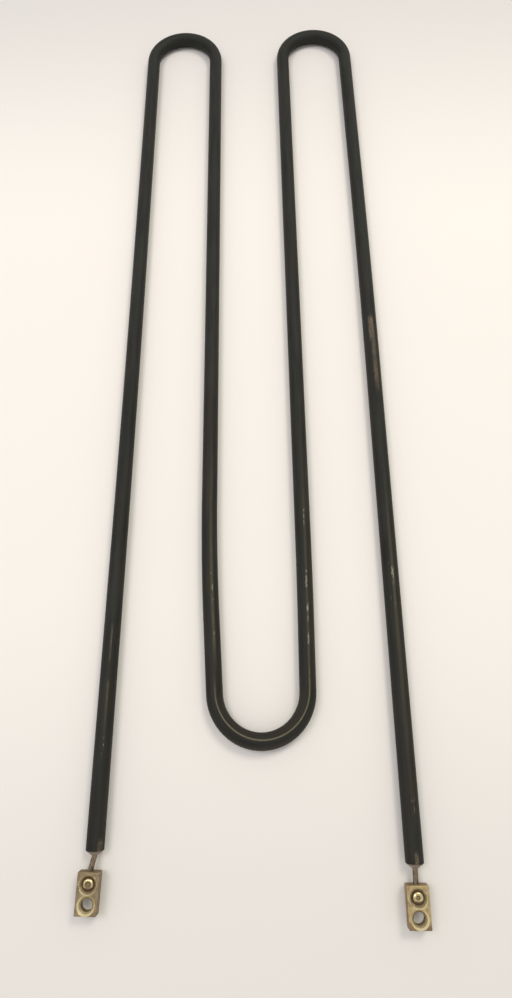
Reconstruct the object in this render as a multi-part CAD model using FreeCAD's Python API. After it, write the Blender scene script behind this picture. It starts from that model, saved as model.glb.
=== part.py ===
"""Tubular heating element: a sheathed heating rod bent into an M, with a brass terminal block on each cold end.

The legs run along Y with the two terminals at -Y. The element lies flat on z = 0, and the origin is under the
middle of its bounding box. All sizes are in millimetres.
"""
import os
from math import acos, atan2, cos, pi, radians, sin, sqrt, tan

import FreeCAD
import Part

Vector = FreeCAD.Vector
UP = Vector(0, 0, 1)

# Heating rod: sheath, packed filling and coil. The packed layer between coil and sheath grows with the rod
SHEATH_OUTER_D = 8.5
SHEATH_WALL = 0.7
PACKED_LAYER_SHARE = 0.2
COIL_WIRE_D = 0.6
COIL_PIN_OVERLAP = 8.0
COIL_SIDES = 8

# Route of the rod's centre line, seen from above: three half turns, and four legs with gentle knees
FAR_BEND_RADIUS = 22.5
NEAR_BEND_RADIUS = 23.3
LEFT_BEND_X = -44.6
LEFT_BEND_Y = 254.1
RIGHT_BEND_X = 49.2
RIGHT_BEND_Y = 254.6
NEAR_BEND_X = 4.3
NEAR_BEND_Y = -185.0
LEFT_END_X = -73.8
LEFT_END_Y = -254.1
LEFT_OUTER_KNEE_X = -69.8
LEFT_OUTER_KNEE_Y = -20.0
LEFT_INNER_KNEE_X = -22.7
LEFT_INNER_KNEE_Y = -115.0
RIGHT_INNER_KNEE_X = 28.2
RIGHT_INNER_KNEE_Y = -130.0
RIGHT_OUTER_KNEE_X = 73.7
RIGHT_OUTER_KNEE_Y = 70.0
RIGHT_END_X = 73.5
RIGHT_END_Y = -260.8
KNEE_SHARE = 0.45

# Cold pins and the seals that close the sheath
PIN_D = 2.5
PIN_INSIDE = 42.0
PIN_EXPOSED = 8.3
PIN_BEND_RADIUS = 5.0
PIN_STRAIGHT = 0.6
SEAL_DEPTH = 5.0
SEAL_PROUD = 1.9
SEAL_RIM_MARGIN = 0.3
SEAL_SHOULDER = 0.8
SEAL_SHOULDER_STEP = 0.7
SEAL_NECK_COVER = 0.35

# Terminal blocks
BLOCK_WIDTH = 10.0
BLOCK_LENGTH = 17.4
BLOCK_THICKNESS = 5.5
BLOCK_EDGE = 0.25
BLOCK_FLOOR = 0.7
HOLE_D = 5.3
CLAMP_HOLE_FROM_END = 5.0
HOLE_PITCH = 8.2
COUNTERSINK_D = 8.3
BACK_CHAMFER = 0.5
PIN_HOLE_CLEARANCE = 0.1
PIN_PAST_HOLE = 0.8
STAKE_D = 1.3
STAKE_DEPTH = 0.6

# Clamp screws
SCREW_RECESS = 0.4
SCREW_DOME = 0.9
SCREW_SHOULDER = 0.45
SCREW_SHOULDER_RISE = 0.65
SCREW_CROWN_D = 2.9
SCREW_DIMPLE_D = 2.0
SCREW_DIMPLE_DEPTH = 0.7

# What differs from one terminal to the other: sideways step of the block, its turn and its two stake marks, in degrees
LEFT_BLOCK_STEP = -1.25
LEFT_BLOCK_TURN = -1.8
LEFT_STAKES = (45.0, 200.0)
RIGHT_BLOCK_STEP = -0.2
RIGHT_BLOCK_TURN = -0.5
RIGHT_STAKES = (40.0, 226.0)

BORE_D = SHEATH_OUTER_D - 2 * SHEATH_WALL
PACKED_LAYER = PACKED_LAYER_SHARE * SHEATH_OUTER_D
COIL_OUTER_D = BORE_D - 2 * PACKED_LAYER
COIL_INNER_D = COIL_OUTER_D - 2 * COIL_WIRE_D
AXIS_Z = SHEATH_OUTER_D / 2

LEFT_BEND = Vector(LEFT_BEND_X, LEFT_BEND_Y, 0)
RIGHT_BEND = Vector(RIGHT_BEND_X, RIGHT_BEND_Y, 0)
NEAR_BEND = Vector(NEAR_BEND_X, NEAR_BEND_Y, 0)
LEFT_END = Vector(LEFT_END_X, LEFT_END_Y, 0)
LEFT_OUTER_KNEE = Vector(LEFT_OUTER_KNEE_X, LEFT_OUTER_KNEE_Y, 0)
LEFT_INNER_KNEE = Vector(LEFT_INNER_KNEE_X, LEFT_INNER_KNEE_Y, 0)
RIGHT_INNER_KNEE = Vector(RIGHT_INNER_KNEE_X, RIGHT_INNER_KNEE_Y, 0)
RIGHT_OUTER_KNEE = Vector(RIGHT_OUTER_KNEE_X, RIGHT_OUTER_KNEE_Y, 0)
RIGHT_END = Vector(RIGHT_END_X, RIGHT_END_Y, 0)


def unit(vector):
    """The vector's direction."""
    return vector / vector.Length


def touch_point(outside, centre, radius, side):
    """Where the straight line from a point touches a bend. side picks one of the two tangents."""
    away = outside - centre
    heading = atan2(away.y, away.x) + side * acos(radius / away.Length)
    return centre + Vector(cos(heading), sin(heading), 0) * radius


def rounded_run(points, radius=None):
    """Straight runs through the points, joined by tangent arcs of one radius, or as large as the runs allow."""
    curves = []
    here = points[0]
    for before, corner, after in zip(points, points[1:], points[2:]):
        arriving = unit(corner - before)
        leaving = unit(after - corner)
        half_turn = arriving.getAngle(leaving) / 2
        reach = min((corner - before).Length, (after - corner).Length) * KNEE_SHARE
        bend = radius if radius else reach / tan(half_turn)
        setback = bend * tan(half_turn)
        start = corner - arriving * setback
        end = corner + leaving * setback
        middle = corner + unit(leaving - arriving) * (sqrt(bend**2 + setback**2) - bend)
        curves += [Part.LineSegment(here, start), Part.Arc(start, middle, end)]
        here = end
    curves.append(Part.LineSegment(here, points[-1]))
    return curves


def crest(start, centre, rise, end):
    """A bend between two legs. rise is its radius, below zero where the crest is at -Y."""
    return Part.Arc(start, centre + Vector(0, rise, 0), end)


def centre_line(trim=0.0):
    """The rod's centre line from the left end to the right one, with both ends shortened by trim."""
    left_up = touch_point(LEFT_OUTER_KNEE, LEFT_BEND, FAR_BEND_RADIUS, -1)
    left_down = touch_point(LEFT_INNER_KNEE, LEFT_BEND, FAR_BEND_RADIUS, 1)
    near_in = touch_point(LEFT_INNER_KNEE, NEAR_BEND, NEAR_BEND_RADIUS, 1)
    near_out = touch_point(RIGHT_INNER_KNEE, NEAR_BEND, NEAR_BEND_RADIUS, -1)
    right_up = touch_point(RIGHT_INNER_KNEE, RIGHT_BEND, FAR_BEND_RADIUS, -1)
    right_down = touch_point(RIGHT_OUTER_KNEE, RIGHT_BEND, FAR_BEND_RADIUS, 1)
    curves = rounded_run([LEFT_END, LEFT_OUTER_KNEE, left_up])
    curves.append(crest(left_up, LEFT_BEND, FAR_BEND_RADIUS, left_down))
    curves += rounded_run([left_down, LEFT_INNER_KNEE, near_in])
    curves.append(crest(near_in, NEAR_BEND, -NEAR_BEND_RADIUS, near_out))
    curves += rounded_run([near_out, RIGHT_INNER_KNEE, right_up])
    curves.append(crest(right_up, RIGHT_BEND, FAR_BEND_RADIUS, right_down))
    curves += rounded_run([right_down, RIGHT_OUTER_KNEE, RIGHT_END])
    left_start = LEFT_END + unit(LEFT_OUTER_KNEE - LEFT_END) * trim
    right_stop = RIGHT_END + unit(RIGHT_OUTER_KNEE - RIGHT_END) * trim
    curves[0] = Part.LineSegment(left_start, curves[0].EndPoint)
    curves[-1] = Part.LineSegment(curves[-1].StartPoint, right_stop)
    return at_axis_height(curves)


def at_axis_height(curves):
    """The curves as one wire at the height of the rod's axis."""
    wire = Part.Wire([curve.toShape() for curve in curves])
    wire.translate(UP * AXIS_Z)
    return wire


def swept(wire, diameter, sides=None):
    """A bar along a wire: round, or with flat sides that lie on the diameter."""
    first = wire.OrderedEdges[0]
    start = first.valueAt(first.FirstParameter)
    onward = first.tangentAt(first.FirstParameter)
    if sides:
        across = unit(onward.cross(UP))
        corner_r = diameter / 2 / cos(pi / sides)
        angles = [pi * (2 * index + 1) / sides for index in range(sides + 1)]
        section = Part.makePolygon([start + (across * cos(turn) + UP * sin(turn)) * corner_r for turn in angles])
    else:
        section = Part.Wire(Part.makeCircle(diameter / 2, start, onward))
    return wire.makePipeShell([section], True, False)


def turned(corners):
    """A solid of revolution about Z from the corners of its half section, each given as radius and height."""
    points = [Vector(radius, 0, height) for radius, height in corners]
    return Part.Face(Part.makePolygon(points + points[:1])).revolve(Vector(0, 0, 0), UP, 360)


class Terminal:
    """One cold end: the pin, the seal, the brass block and its clamp screw."""

    def __init__(self, end, knee, block_step, block_turn, stakes):
        self.end = end
        self.outward = unit(end - knee)
        self.stakes = stakes
        self.block_way = FreeCAD.Rotation(UP, block_turn).multVec(Vector(0, -1, 0))
        self.block_start = end + self.outward * PIN_EXPOSED + Vector(block_step, 0, 0)
        self.block_bottom = AXIS_Z - BLOCK_FLOOR - PIN_D / 2

    def hole_centre(self, index):
        """A block hole's centre in plan: 0 is the clamp hole, 1 the hole for the supply lead's screw."""
        return self.block_start + self.block_way * (CLAMP_HOLE_FROM_END + index * HOLE_PITCH)

    def pin_tip(self):
        """Where the pin stops, just past the clamp hole."""
        return self.hole_centre(0) + self.block_way * (HOLE_D / 2 + PIN_PAST_HOLE)

    def pin(self):
        """The cold pin, from the stud that holds the coil's end, out through the seal and into the block."""
        stud_start = self.end - self.outward * (PIN_INSIDE - COIL_PIN_OVERLAP)
        leaving = self.end + self.outward * (SEAL_PROUD + PIN_STRAIGHT)
        arriving = self.block_start - self.block_way * PIN_STRAIGHT
        route = rounded_run([stud_start, leaving, arriving, self.pin_tip()], PIN_BEND_RADIUS)
        stud = Part.makeCylinder(COIL_INNER_D / 2, COIL_PIN_OVERLAP, stud_start + UP * AXIS_Z, -self.outward)
        return swept(at_axis_height(route), PIN_D).fuse(stud).removeSplitter()

    def seal(self):
        """The cast bead that closes the sheath round the pin: a plug in the bore and a blunt cone over the rim."""
        pin_r = PIN_D / 2
        rim_r = SHEATH_OUTER_D / 2 - SEAL_RIM_MARGIN
        bead = turned([(pin_r, -SEAL_DEPTH), (BORE_D / 2, -SEAL_DEPTH), (BORE_D / 2, 0), (rim_r, 0),
                       (rim_r - SEAL_SHOULDER_STEP, SEAL_SHOULDER), (pin_r + SEAL_NECK_COVER, SEAL_PROUD),
                       (pin_r, SEAL_PROUD)])
        turn = FreeCAD.Rotation(UP, self.outward)
        return bead.transformed(FreeCAD.Placement(self.end + UP * AXIS_Z, turn).toMatrix())

    def placed(self, shape):
        """The shape, drawn with the block's pin end at the origin and its length along -Y, moved to its place."""
        turn = FreeCAD.Rotation(Vector(0, -1, 0), self.block_way)
        return shape.transformed(FreeCAD.Placement(self.block_start + UP * self.block_bottom, turn).toMatrix())

    def block(self):
        """The brass block: two countersunk holes through it, a blind hole for the pin and two stake marks."""
        body = Part.makeBox(BLOCK_WIDTH, BLOCK_LENGTH, BLOCK_THICKNESS, Vector(-BLOCK_WIDTH / 2, -BLOCK_LENGTH, 0))
        body = body.makeChamfer(BLOCK_EDGE, body.Edges)
        hole_r = HOLE_D / 2
        sink_r = COUNTERSINK_D / 2
        sink_start = BLOCK_THICKNESS - (sink_r - hole_r)
        hole = turned([(0, 0), (hole_r + BACK_CHAMFER, 0), (hole_r, BACK_CHAMFER), (hole_r, sink_start),
                       (sink_r, BLOCK_THICKNESS), (0, BLOCK_THICKNESS)])
        for index in range(2):
            body = body.cut(hole.translated(Vector(0, -CLAMP_HOLE_FROM_END - index * HOLE_PITCH, 0)))
        pin_height = BLOCK_FLOOR + PIN_D / 2
        pin_depth = CLAMP_HOLE_FROM_END + hole_r + PIN_PAST_HOLE
        pin_hole_r = PIN_D / 2 + PIN_HOLE_CLEARANCE / 2
        body = body.cut(Part.makeCylinder(pin_hole_r, pin_depth, UP * pin_height, Vector(0, -1, 0)))
        for stake in self.stakes:
            mark = Vector(cos(radians(stake)), sin(radians(stake)), 0) * sink_r
            mark += Vector(0, -CLAMP_HOLE_FROM_END, BLOCK_THICKNESS - STAKE_DEPTH)
            body = body.cut(Part.makeCone(STAKE_D / 3, STAKE_D / 2, STAKE_DEPTH, mark))
        return self.placed(body)

    def screw(self):
        """The clamp screw on the pin: a plug in the block's hole with a domed, dimpled top."""
        base = BLOCK_FLOOR + PIN_D
        top = BLOCK_THICKNESS - SCREW_RECESS
        dome_start = top - SCREW_DOME
        plug = turned([(0, base), (HOLE_D / 2, base), (HOLE_D / 2, dome_start),
                       (HOLE_D / 2 - SCREW_SHOULDER, dome_start + SCREW_SHOULDER_RISE), (SCREW_CROWN_D / 2, top),
                       (SCREW_DIMPLE_D / 2, top), (0, top - SCREW_DIMPLE_DEPTH)])
        return self.placed(plug.translated(Vector(0, -CLAMP_HOLE_FROM_END, 0)))


def build():
    """Every piece by its node's name. The coil's turns are one bar of their outer size, with few faces."""
    terminals = {
        "left": Terminal(LEFT_END, LEFT_OUTER_KNEE, LEFT_BLOCK_STEP, LEFT_BLOCK_TURN, LEFT_STAKES),
        "right": Terminal(RIGHT_END, RIGHT_OUTER_KNEE, RIGHT_BLOCK_STEP, RIGHT_BLOCK_TURN, RIGHT_STAKES),
    }
    sheath = swept(centre_line(), SHEATH_OUTER_D).cut(swept(centre_line(), BORE_D))
    coil = swept(centre_line(PIN_INSIDE - COIL_PIN_OVERLAP), COIL_OUTER_D, COIL_SIDES)
    core = swept(centre_line(SEAL_DEPTH), BORE_D).cut(coil)
    pieces = {}
    for side, terminal in terminals.items():
        pin = terminal.pin()
        core = core.cut(pin)
        coil = coil.cut(pin)
        pieces[f"terminal_pin_{side}"] = pin
        pieces[f"end_seal_{side}"] = terminal.seal()
        pieces[f"terminal_block_{side}"] = terminal.block()
        pieces[f"clamp_screw_{side}"] = terminal.screw()
    pieces["sheath"] = sheath
    pieces["heating_coil"] = coil
    pieces["magnesia_core"] = core
    return pieces


def centred(pieces):
    """The pieces moved so that the origin is under the middle of the whole element."""
    box = Part.makeCompound(list(pieces.values())).optimalBoundingBox(False, False)
    shift = Vector(-box.Center.x, -box.Center.y, 0)
    return {name: shape.translated(shift) for name, shape in pieces.items()}


if __name__ == "__main__":
    os.makedirs("parts", exist_ok=True)
    for node, solid in centred(build()).items():
        solid.exportStep(f"parts/{node}.step")
        print(node, len(solid.Solids), round(solid.Volume, 2), solid.isValid())
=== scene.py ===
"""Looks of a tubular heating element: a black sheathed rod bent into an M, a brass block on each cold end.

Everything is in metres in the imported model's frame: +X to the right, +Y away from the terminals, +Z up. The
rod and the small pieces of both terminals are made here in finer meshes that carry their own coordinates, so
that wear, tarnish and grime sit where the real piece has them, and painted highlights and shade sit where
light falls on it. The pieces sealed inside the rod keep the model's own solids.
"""
from __future__ import annotations

import logging
import math
from collections.abc import Callable, Iterator, Sequence
from dataclasses import dataclass, field, replace
from enum import Enum

import bmesh
import bpy
from mathutils import Matrix, Vector, noise

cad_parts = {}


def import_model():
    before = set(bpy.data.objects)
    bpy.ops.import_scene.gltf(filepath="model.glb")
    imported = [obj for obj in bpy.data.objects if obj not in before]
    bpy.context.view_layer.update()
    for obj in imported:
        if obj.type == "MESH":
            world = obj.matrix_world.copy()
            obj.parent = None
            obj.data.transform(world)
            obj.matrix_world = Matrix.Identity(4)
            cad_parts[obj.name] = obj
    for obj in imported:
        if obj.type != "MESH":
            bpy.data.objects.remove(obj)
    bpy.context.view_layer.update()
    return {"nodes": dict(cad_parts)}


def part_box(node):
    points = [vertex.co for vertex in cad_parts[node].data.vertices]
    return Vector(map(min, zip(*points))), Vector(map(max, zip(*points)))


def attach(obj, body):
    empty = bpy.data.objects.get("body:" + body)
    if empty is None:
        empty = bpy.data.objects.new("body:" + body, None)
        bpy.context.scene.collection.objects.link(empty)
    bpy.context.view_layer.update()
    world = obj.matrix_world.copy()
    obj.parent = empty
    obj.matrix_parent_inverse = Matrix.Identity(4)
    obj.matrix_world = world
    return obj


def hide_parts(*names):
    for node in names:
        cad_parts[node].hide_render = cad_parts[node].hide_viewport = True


MM = 0.001
UP = Vector((0.0, 0.0, 1.0))
BODY = "root"
SHARP_ANGLE = math.radians(38)

# What a mesh keeps at each point for its material
LOCAL = "local"
# The crest's worn line, which is also painted as a highlight
RUB_AND_HIGHLIGHT = "wear"
MARKS = "marks"

log = logging.getLogger("heating_element")

Colour = tuple[float, float, float, float]
Corners = Sequence[tuple[float, float]]
Ring = list[bmesh.types.BMVert]
Socket = bpy.types.NodeSocket
Input = Socket | float | Sequence[float]
Size = float | tuple[float, float, float]
PointValues = dict[str, Sequence[float]]


class Slot(Enum):
    """The material slots."""

    SHEATH = "sheath_steel"
    COIL = "coil_wire"
    POWDER = "magnesia"
    PIN = "pin_steel"
    SEAL = "seal_resin"
    BRASS_LEFT = "block_brass_left"
    BRASS_RIGHT = "block_brass_right"
    SCREW = "screw_brass"


class Side(Enum):
    """The two terminals."""

    LEFT = "left"
    RIGHT = "right"


class RodPart(Enum):
    """The rod's legs and bends, in order from the left end to the right one."""

    LEFT_OUTER_LEG = "left outer leg"
    LEFT_BEND = "left bend"
    LEFT_INNER_LEG = "left inner leg"
    NEAR_BEND = "near bend"
    RIGHT_INNER_LEG = "right inner leg"
    RIGHT_BEND = "right bend"
    RIGHT_OUTER_LEG = "right outer leg"


class Turn(Enum):
    """Which way an arc turns, seen from above."""

    LEFTWARD = 1
    RIGHTWARD = -1


def tone(red: float, green: float, blue: float) -> Colour:
    """A colour from its display values.

    Args:
        red: Display value from 0 to 255.
        green: Display value from 0 to 255.
        blue: Display value from 0 to 255.

    Returns:
        The linear colour, opaque.
    """
    def linear(value: float) -> float:
        """One display value as linear light."""
        share = value / 255
        return share / 12.92 if share <= 0.04045 else ((share + 0.055) / 1.055) ** 2.4

    return linear(red), linear(green), linear(blue), 1.0


def plan(x_mm: float, y_mm: float) -> Vector:
    """A point on the floor from its millimetres."""
    return Vector((x_mm * MM, y_mm * MM, 0.0))


def smooth_step(low: float, high: float, value: float) -> float:
    """How far a value is from low to high, from 0 to 1, with soft ends."""
    share = min(1.0, max(0.0, (value - low) / (high - low)))
    return share * share * (3 - 2 * share)


# Lines that lie flat


@dataclass(frozen=True)
class Station:
    """One place along a flat line."""

    distance: float
    place: Vector
    onward: Vector
    part: RodPart | None = None

    @property
    def rightward(self) -> Vector:
        """The level direction to the right of the way onward."""
        return Vector((self.onward.y, -self.onward.x, 0.0))

    def moved(self, way: float) -> Station:
        """The place that lies straight onward by a way, or back by a negative one."""
        return replace(self, distance=self.distance + way, place=self.place + self.onward * way)


@dataclass(frozen=True)
class Straight:
    """A straight span."""

    start: Vector
    end: Vector
    part: RodPart | None = None

    @property
    def length(self) -> float:
        """The span's length."""
        return (self.end - self.start).length

    def at(self, share: float) -> tuple[Vector, Vector]:
        """The place and direction at a share of the span."""
        return self.start.lerp(self.end, share), (self.end - self.start).normalized()


@dataclass(frozen=True)
class Arc:
    """A round span about a centre."""

    centre: Vector
    start: Vector
    sweep: float
    part: RodPart | None = None

    @classmethod
    def between(cls, centre: Vector, start: Vector, end: Vector, turn: Turn, part: RodPart) -> Arc:
        """The arc from one point to another about a centre.

        Args:
            centre: The arc's centre.
            start: Its first point.
            end: Its last point.
            turn: Which way it goes round.
            part: The stretch of the rod that it belongs to.

        Returns:
            The arc.
        """
        first = math.atan2(start.y - centre.y, start.x - centre.x)
        last = math.atan2(end.y - centre.y, end.x - centre.x)
        swept = (last - first) * turn.value % (2 * math.pi)
        return cls(centre, start, swept * turn.value, part)

    @property
    def length(self) -> float:
        """The span's length."""
        return (self.start - self.centre).length * abs(self.sweep)

    def at(self, share: float) -> tuple[Vector, Vector]:
        """The place and direction at a share of the span.

        Args:
            share: How much of the span lies behind.

        Returns:
            The place and the way onward.
        """
        spoke = Matrix.Rotation(self.sweep * share, 3, "Z") @ (self.start - self.centre)
        onward = UP.cross(spoke).normalized() * math.copysign(1.0, self.sweep)
        return self.centre + spoke, onward


Span = Straight | Arc


def rounded_run(points: Sequence[Vector], part: RodPart | None = None, radius: float | None = None,
                knee_share: float = 0.45) -> list[Span]:
    """Straight spans through some points, joined by tangent arcs.

    Args:
        points: The run's ends and its corners.
        part: The stretch of the rod that the spans belong to.
        radius: The arcs' radius, or None for the largest that the straight spans allow.
        knee_share: The share of the shorter straight that the largest arc may take.

    Returns:
        The spans in order.
    """
    spans: list[Span] = []
    here = points[0]
    for before, corner, after in zip(points, points[1:], points[2:]):
        arriving = (corner - before).normalized()
        leaving = (after - corner).normalized()
        turn = math.atan2(arriving.cross(leaving).z, arriving.dot(leaving))
        half = abs(turn) / 2
        reach = min((corner - before).length, (after - corner).length) * knee_share
        bend = radius if radius else reach / math.tan(half)
        setback = bend * math.tan(half)
        start = corner - arriving * setback
        centre = corner + (leaving - arriving).normalized() * math.hypot(bend, setback)
        spans += [Straight(here, start, part), Arc(centre, start, turn, part)]
        here = corner + leaving * setback
    spans.append(Straight(here, points[-1], part))
    return spans


def stations(spans: Sequence[Span], straight_step: float, arc_step: float, shift: Vector) -> list[Station]:
    """Places along some spans, both ends of each span among them.

    Args:
        spans: The spans in order.
        straight_step: The longest step on a straight span.
        arc_step: The longest step on an arc.
        shift: A move added to every place.

    Returns:
        The places, with their distance from the start.
    """
    found: list[Station] = []
    passed = 0.0
    for index, span in enumerate(spans):
        step = straight_step if isinstance(span, Straight) else arc_step
        count = max(1, math.ceil(span.length / step))
        for number in range(0 if index == 0 else 1, count + 1):
            place, onward = span.at(number / count)
            found.append(Station(passed + span.length * number / count, place + shift, onward, span.part))
        passed += span.length
    return found


# Meshes


class Skin:
    """A mesh in the making. Each point also keeps its place in the piece's own coordinates."""

    def __init__(self, *names: str) -> None:
        """Starts an empty mesh.

        Args:
            *names: What else each point keeps, three values to a name.
        """
        self.mesh = bmesh.new()
        layers = self.mesh.verts.layers.float_vector
        for name in (LOCAL, *names):
            layers.new(name)
        self.layers = {name: layers[name] for name in (LOCAL, *names)}

    def point(self, place: Vector, local: Vector, **extra: Sequence[float]) -> bmesh.types.BMVert:
        """Adds a point.

        Args:
            place: Where it is.
            local: Its own coordinates.
            **extra: Its values under the skin's further names.

        Returns:
            The point.
        """
        vert = self.mesh.verts.new(place)
        for name, value in {LOCAL: local, **extra}.items():
            vert[self.layers[name]] = Vector(value)
        return vert

    def bridge(self, first: Ring, second: Ring) -> None:
        """Adds the faces between two closed rings.

        Args:
            first: One ring.
            second: The other, with as many points.
        """
        count = len(first)
        for index in range(count):
            after = (index + 1) % count
            self.mesh.faces.new((first[index], first[after], second[after], second[index]))

    def cap(self, ring: Ring, tip: bmesh.types.BMVert) -> None:
        """Adds a fan of faces from a closed ring to one point."""
        for index, vert in enumerate(ring):
            self.mesh.faces.new((vert, ring[(index + 1) % len(ring)], tip))

    def piece(self, name: str, material: bpy.types.Material) -> bpy.types.Object:
        """Finishes the mesh.

        Args:
            name: The object's name.
            material: Its finish.

        Returns:
            The object, in the scene.
        """
        bmesh.ops.recalc_face_normals(self.mesh, faces=self.mesh.faces)
        mesh = bpy.data.meshes.new(name)
        self.mesh.to_mesh(mesh)
        self.mesh.free()
        return smooth_piece(name, mesh, material)


def in_scene(name: str, data: bpy.types.ID) -> bpy.types.Object:
    """A new object in the scene.

    Args:
        name: Its name.
        data: Its mesh, lamp or camera.

    Returns:
        The object.
    """
    made = bpy.data.objects.new(name, data)
    bpy.context.scene.collection.objects.link(made)
    return made


def smooth_piece(name: str, mesh: bpy.types.Mesh, material: bpy.types.Material) -> bpy.types.Object:
    """A mesh as an object of the scene, smooth apart from its sharp edges.

    Args:
        name: The object's name.
        mesh: Its mesh.
        material: Its finish.

    Returns:
        The object.
    """
    mesh.shade_smooth()
    mesh.set_sharp_from_angle(angle=SHARP_ANGLE)
    mesh.materials.clear()
    mesh.materials.append(material)
    return in_scene(name, mesh)


def swept_ring(skin: Skin, station: Station, radius: float, sides: int, height: float,
               extra: Callable[[float, float], PointValues] | None = None) -> Ring:
    """A ring of points round a flat line.

    Args:
        skin: The mesh in the making.
        station: Where the ring is.
        radius: Its radius.
        sides: How many points it has.
        height: The line's height.
        extra: Gives a point's further values from its offset to the right and its height above the line.

    Returns:
        The ring's points.
    """
    ring = []
    for index in range(sides):
        angle = 2 * math.pi * index / sides
        across, rise = radius * math.sin(angle), radius * math.cos(angle)
        place = station.place + station.rightward * across + UP * (height + rise)
        values = extra(across, rise) if extra else {}
        ring.append(skin.point(place, Vector((station.distance, across, rise)), **values))
    return ring


def lathe(skin: Skin, profile: Corners, sides: int, matrix: Matrix,
          stray: Callable[[float, float, float], float] | None = None) -> None:
    """A closed solid of revolution about its own Z.

    Args:
        skin: The mesh in the making.
        profile: Radius and height of each corner of the half section. A radius of 0 is a tip.
        sides: How many points a ring has.
        matrix: Where the solid goes. The points' own coordinates are those from before it.
        stray: Gives what is added to the radius at a radius, an angle and a height.
    """
    rings: list[Ring] = []
    for radius, height in profile:
        if radius == 0:
            local = Vector((0.0, 0.0, height))
            rings.append([skin.point(matrix @ local, local)])
            continue
        ring = []
        for index in range(sides):
            angle = 2 * math.pi * index / sides
            reach = radius + (stray(radius, angle, height) if stray else 0.0)
            local = Vector((reach * math.cos(angle), reach * math.sin(angle), height))
            ring.append(skin.point(matrix @ local, local))
        rings.append(ring)
    closed = len(rings[0]) > 1
    for first, second in list(zip(rings, rings[1:])) + ([(rings[-1], rings[0])] if closed else []):
        if len(first) == 1:
            skin.cap(second, first[0])
        elif len(second) == 1:
            skin.cap(first, second[0])
        else:
            skin.bridge(first, second)


def rounded(corners: Corners, radii: Sequence[float], steps: int = 4) -> list[tuple[float, float]]:
    """A half section with some of its corners rounded.

    Args:
        corners: Radius and height of each corner.
        radii: How far from each corner its rounding starts, 0 for a sharp one.
        steps: Points on each rounding.

    Returns:
        The section's points.
    """
    points: list[tuple[float, float]] = []
    for index, (corner, cut) in enumerate(zip(corners, radii)):
        if not cut:
            points.append(corner)
            continue
        here = Vector(corner)
        before = here + (Vector(corners[index - 1]) - here).normalized() * cut
        after = here + (Vector(corners[(index + 1) % len(corners)]) - here).normalized() * cut
        for step in range(steps + 1):
            share = step / steps
            spot = before.lerp(here, share).lerp(here.lerp(after, share), share)
            points.append((spot.x, spot.y))
    return points


# Shader nodes


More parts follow.
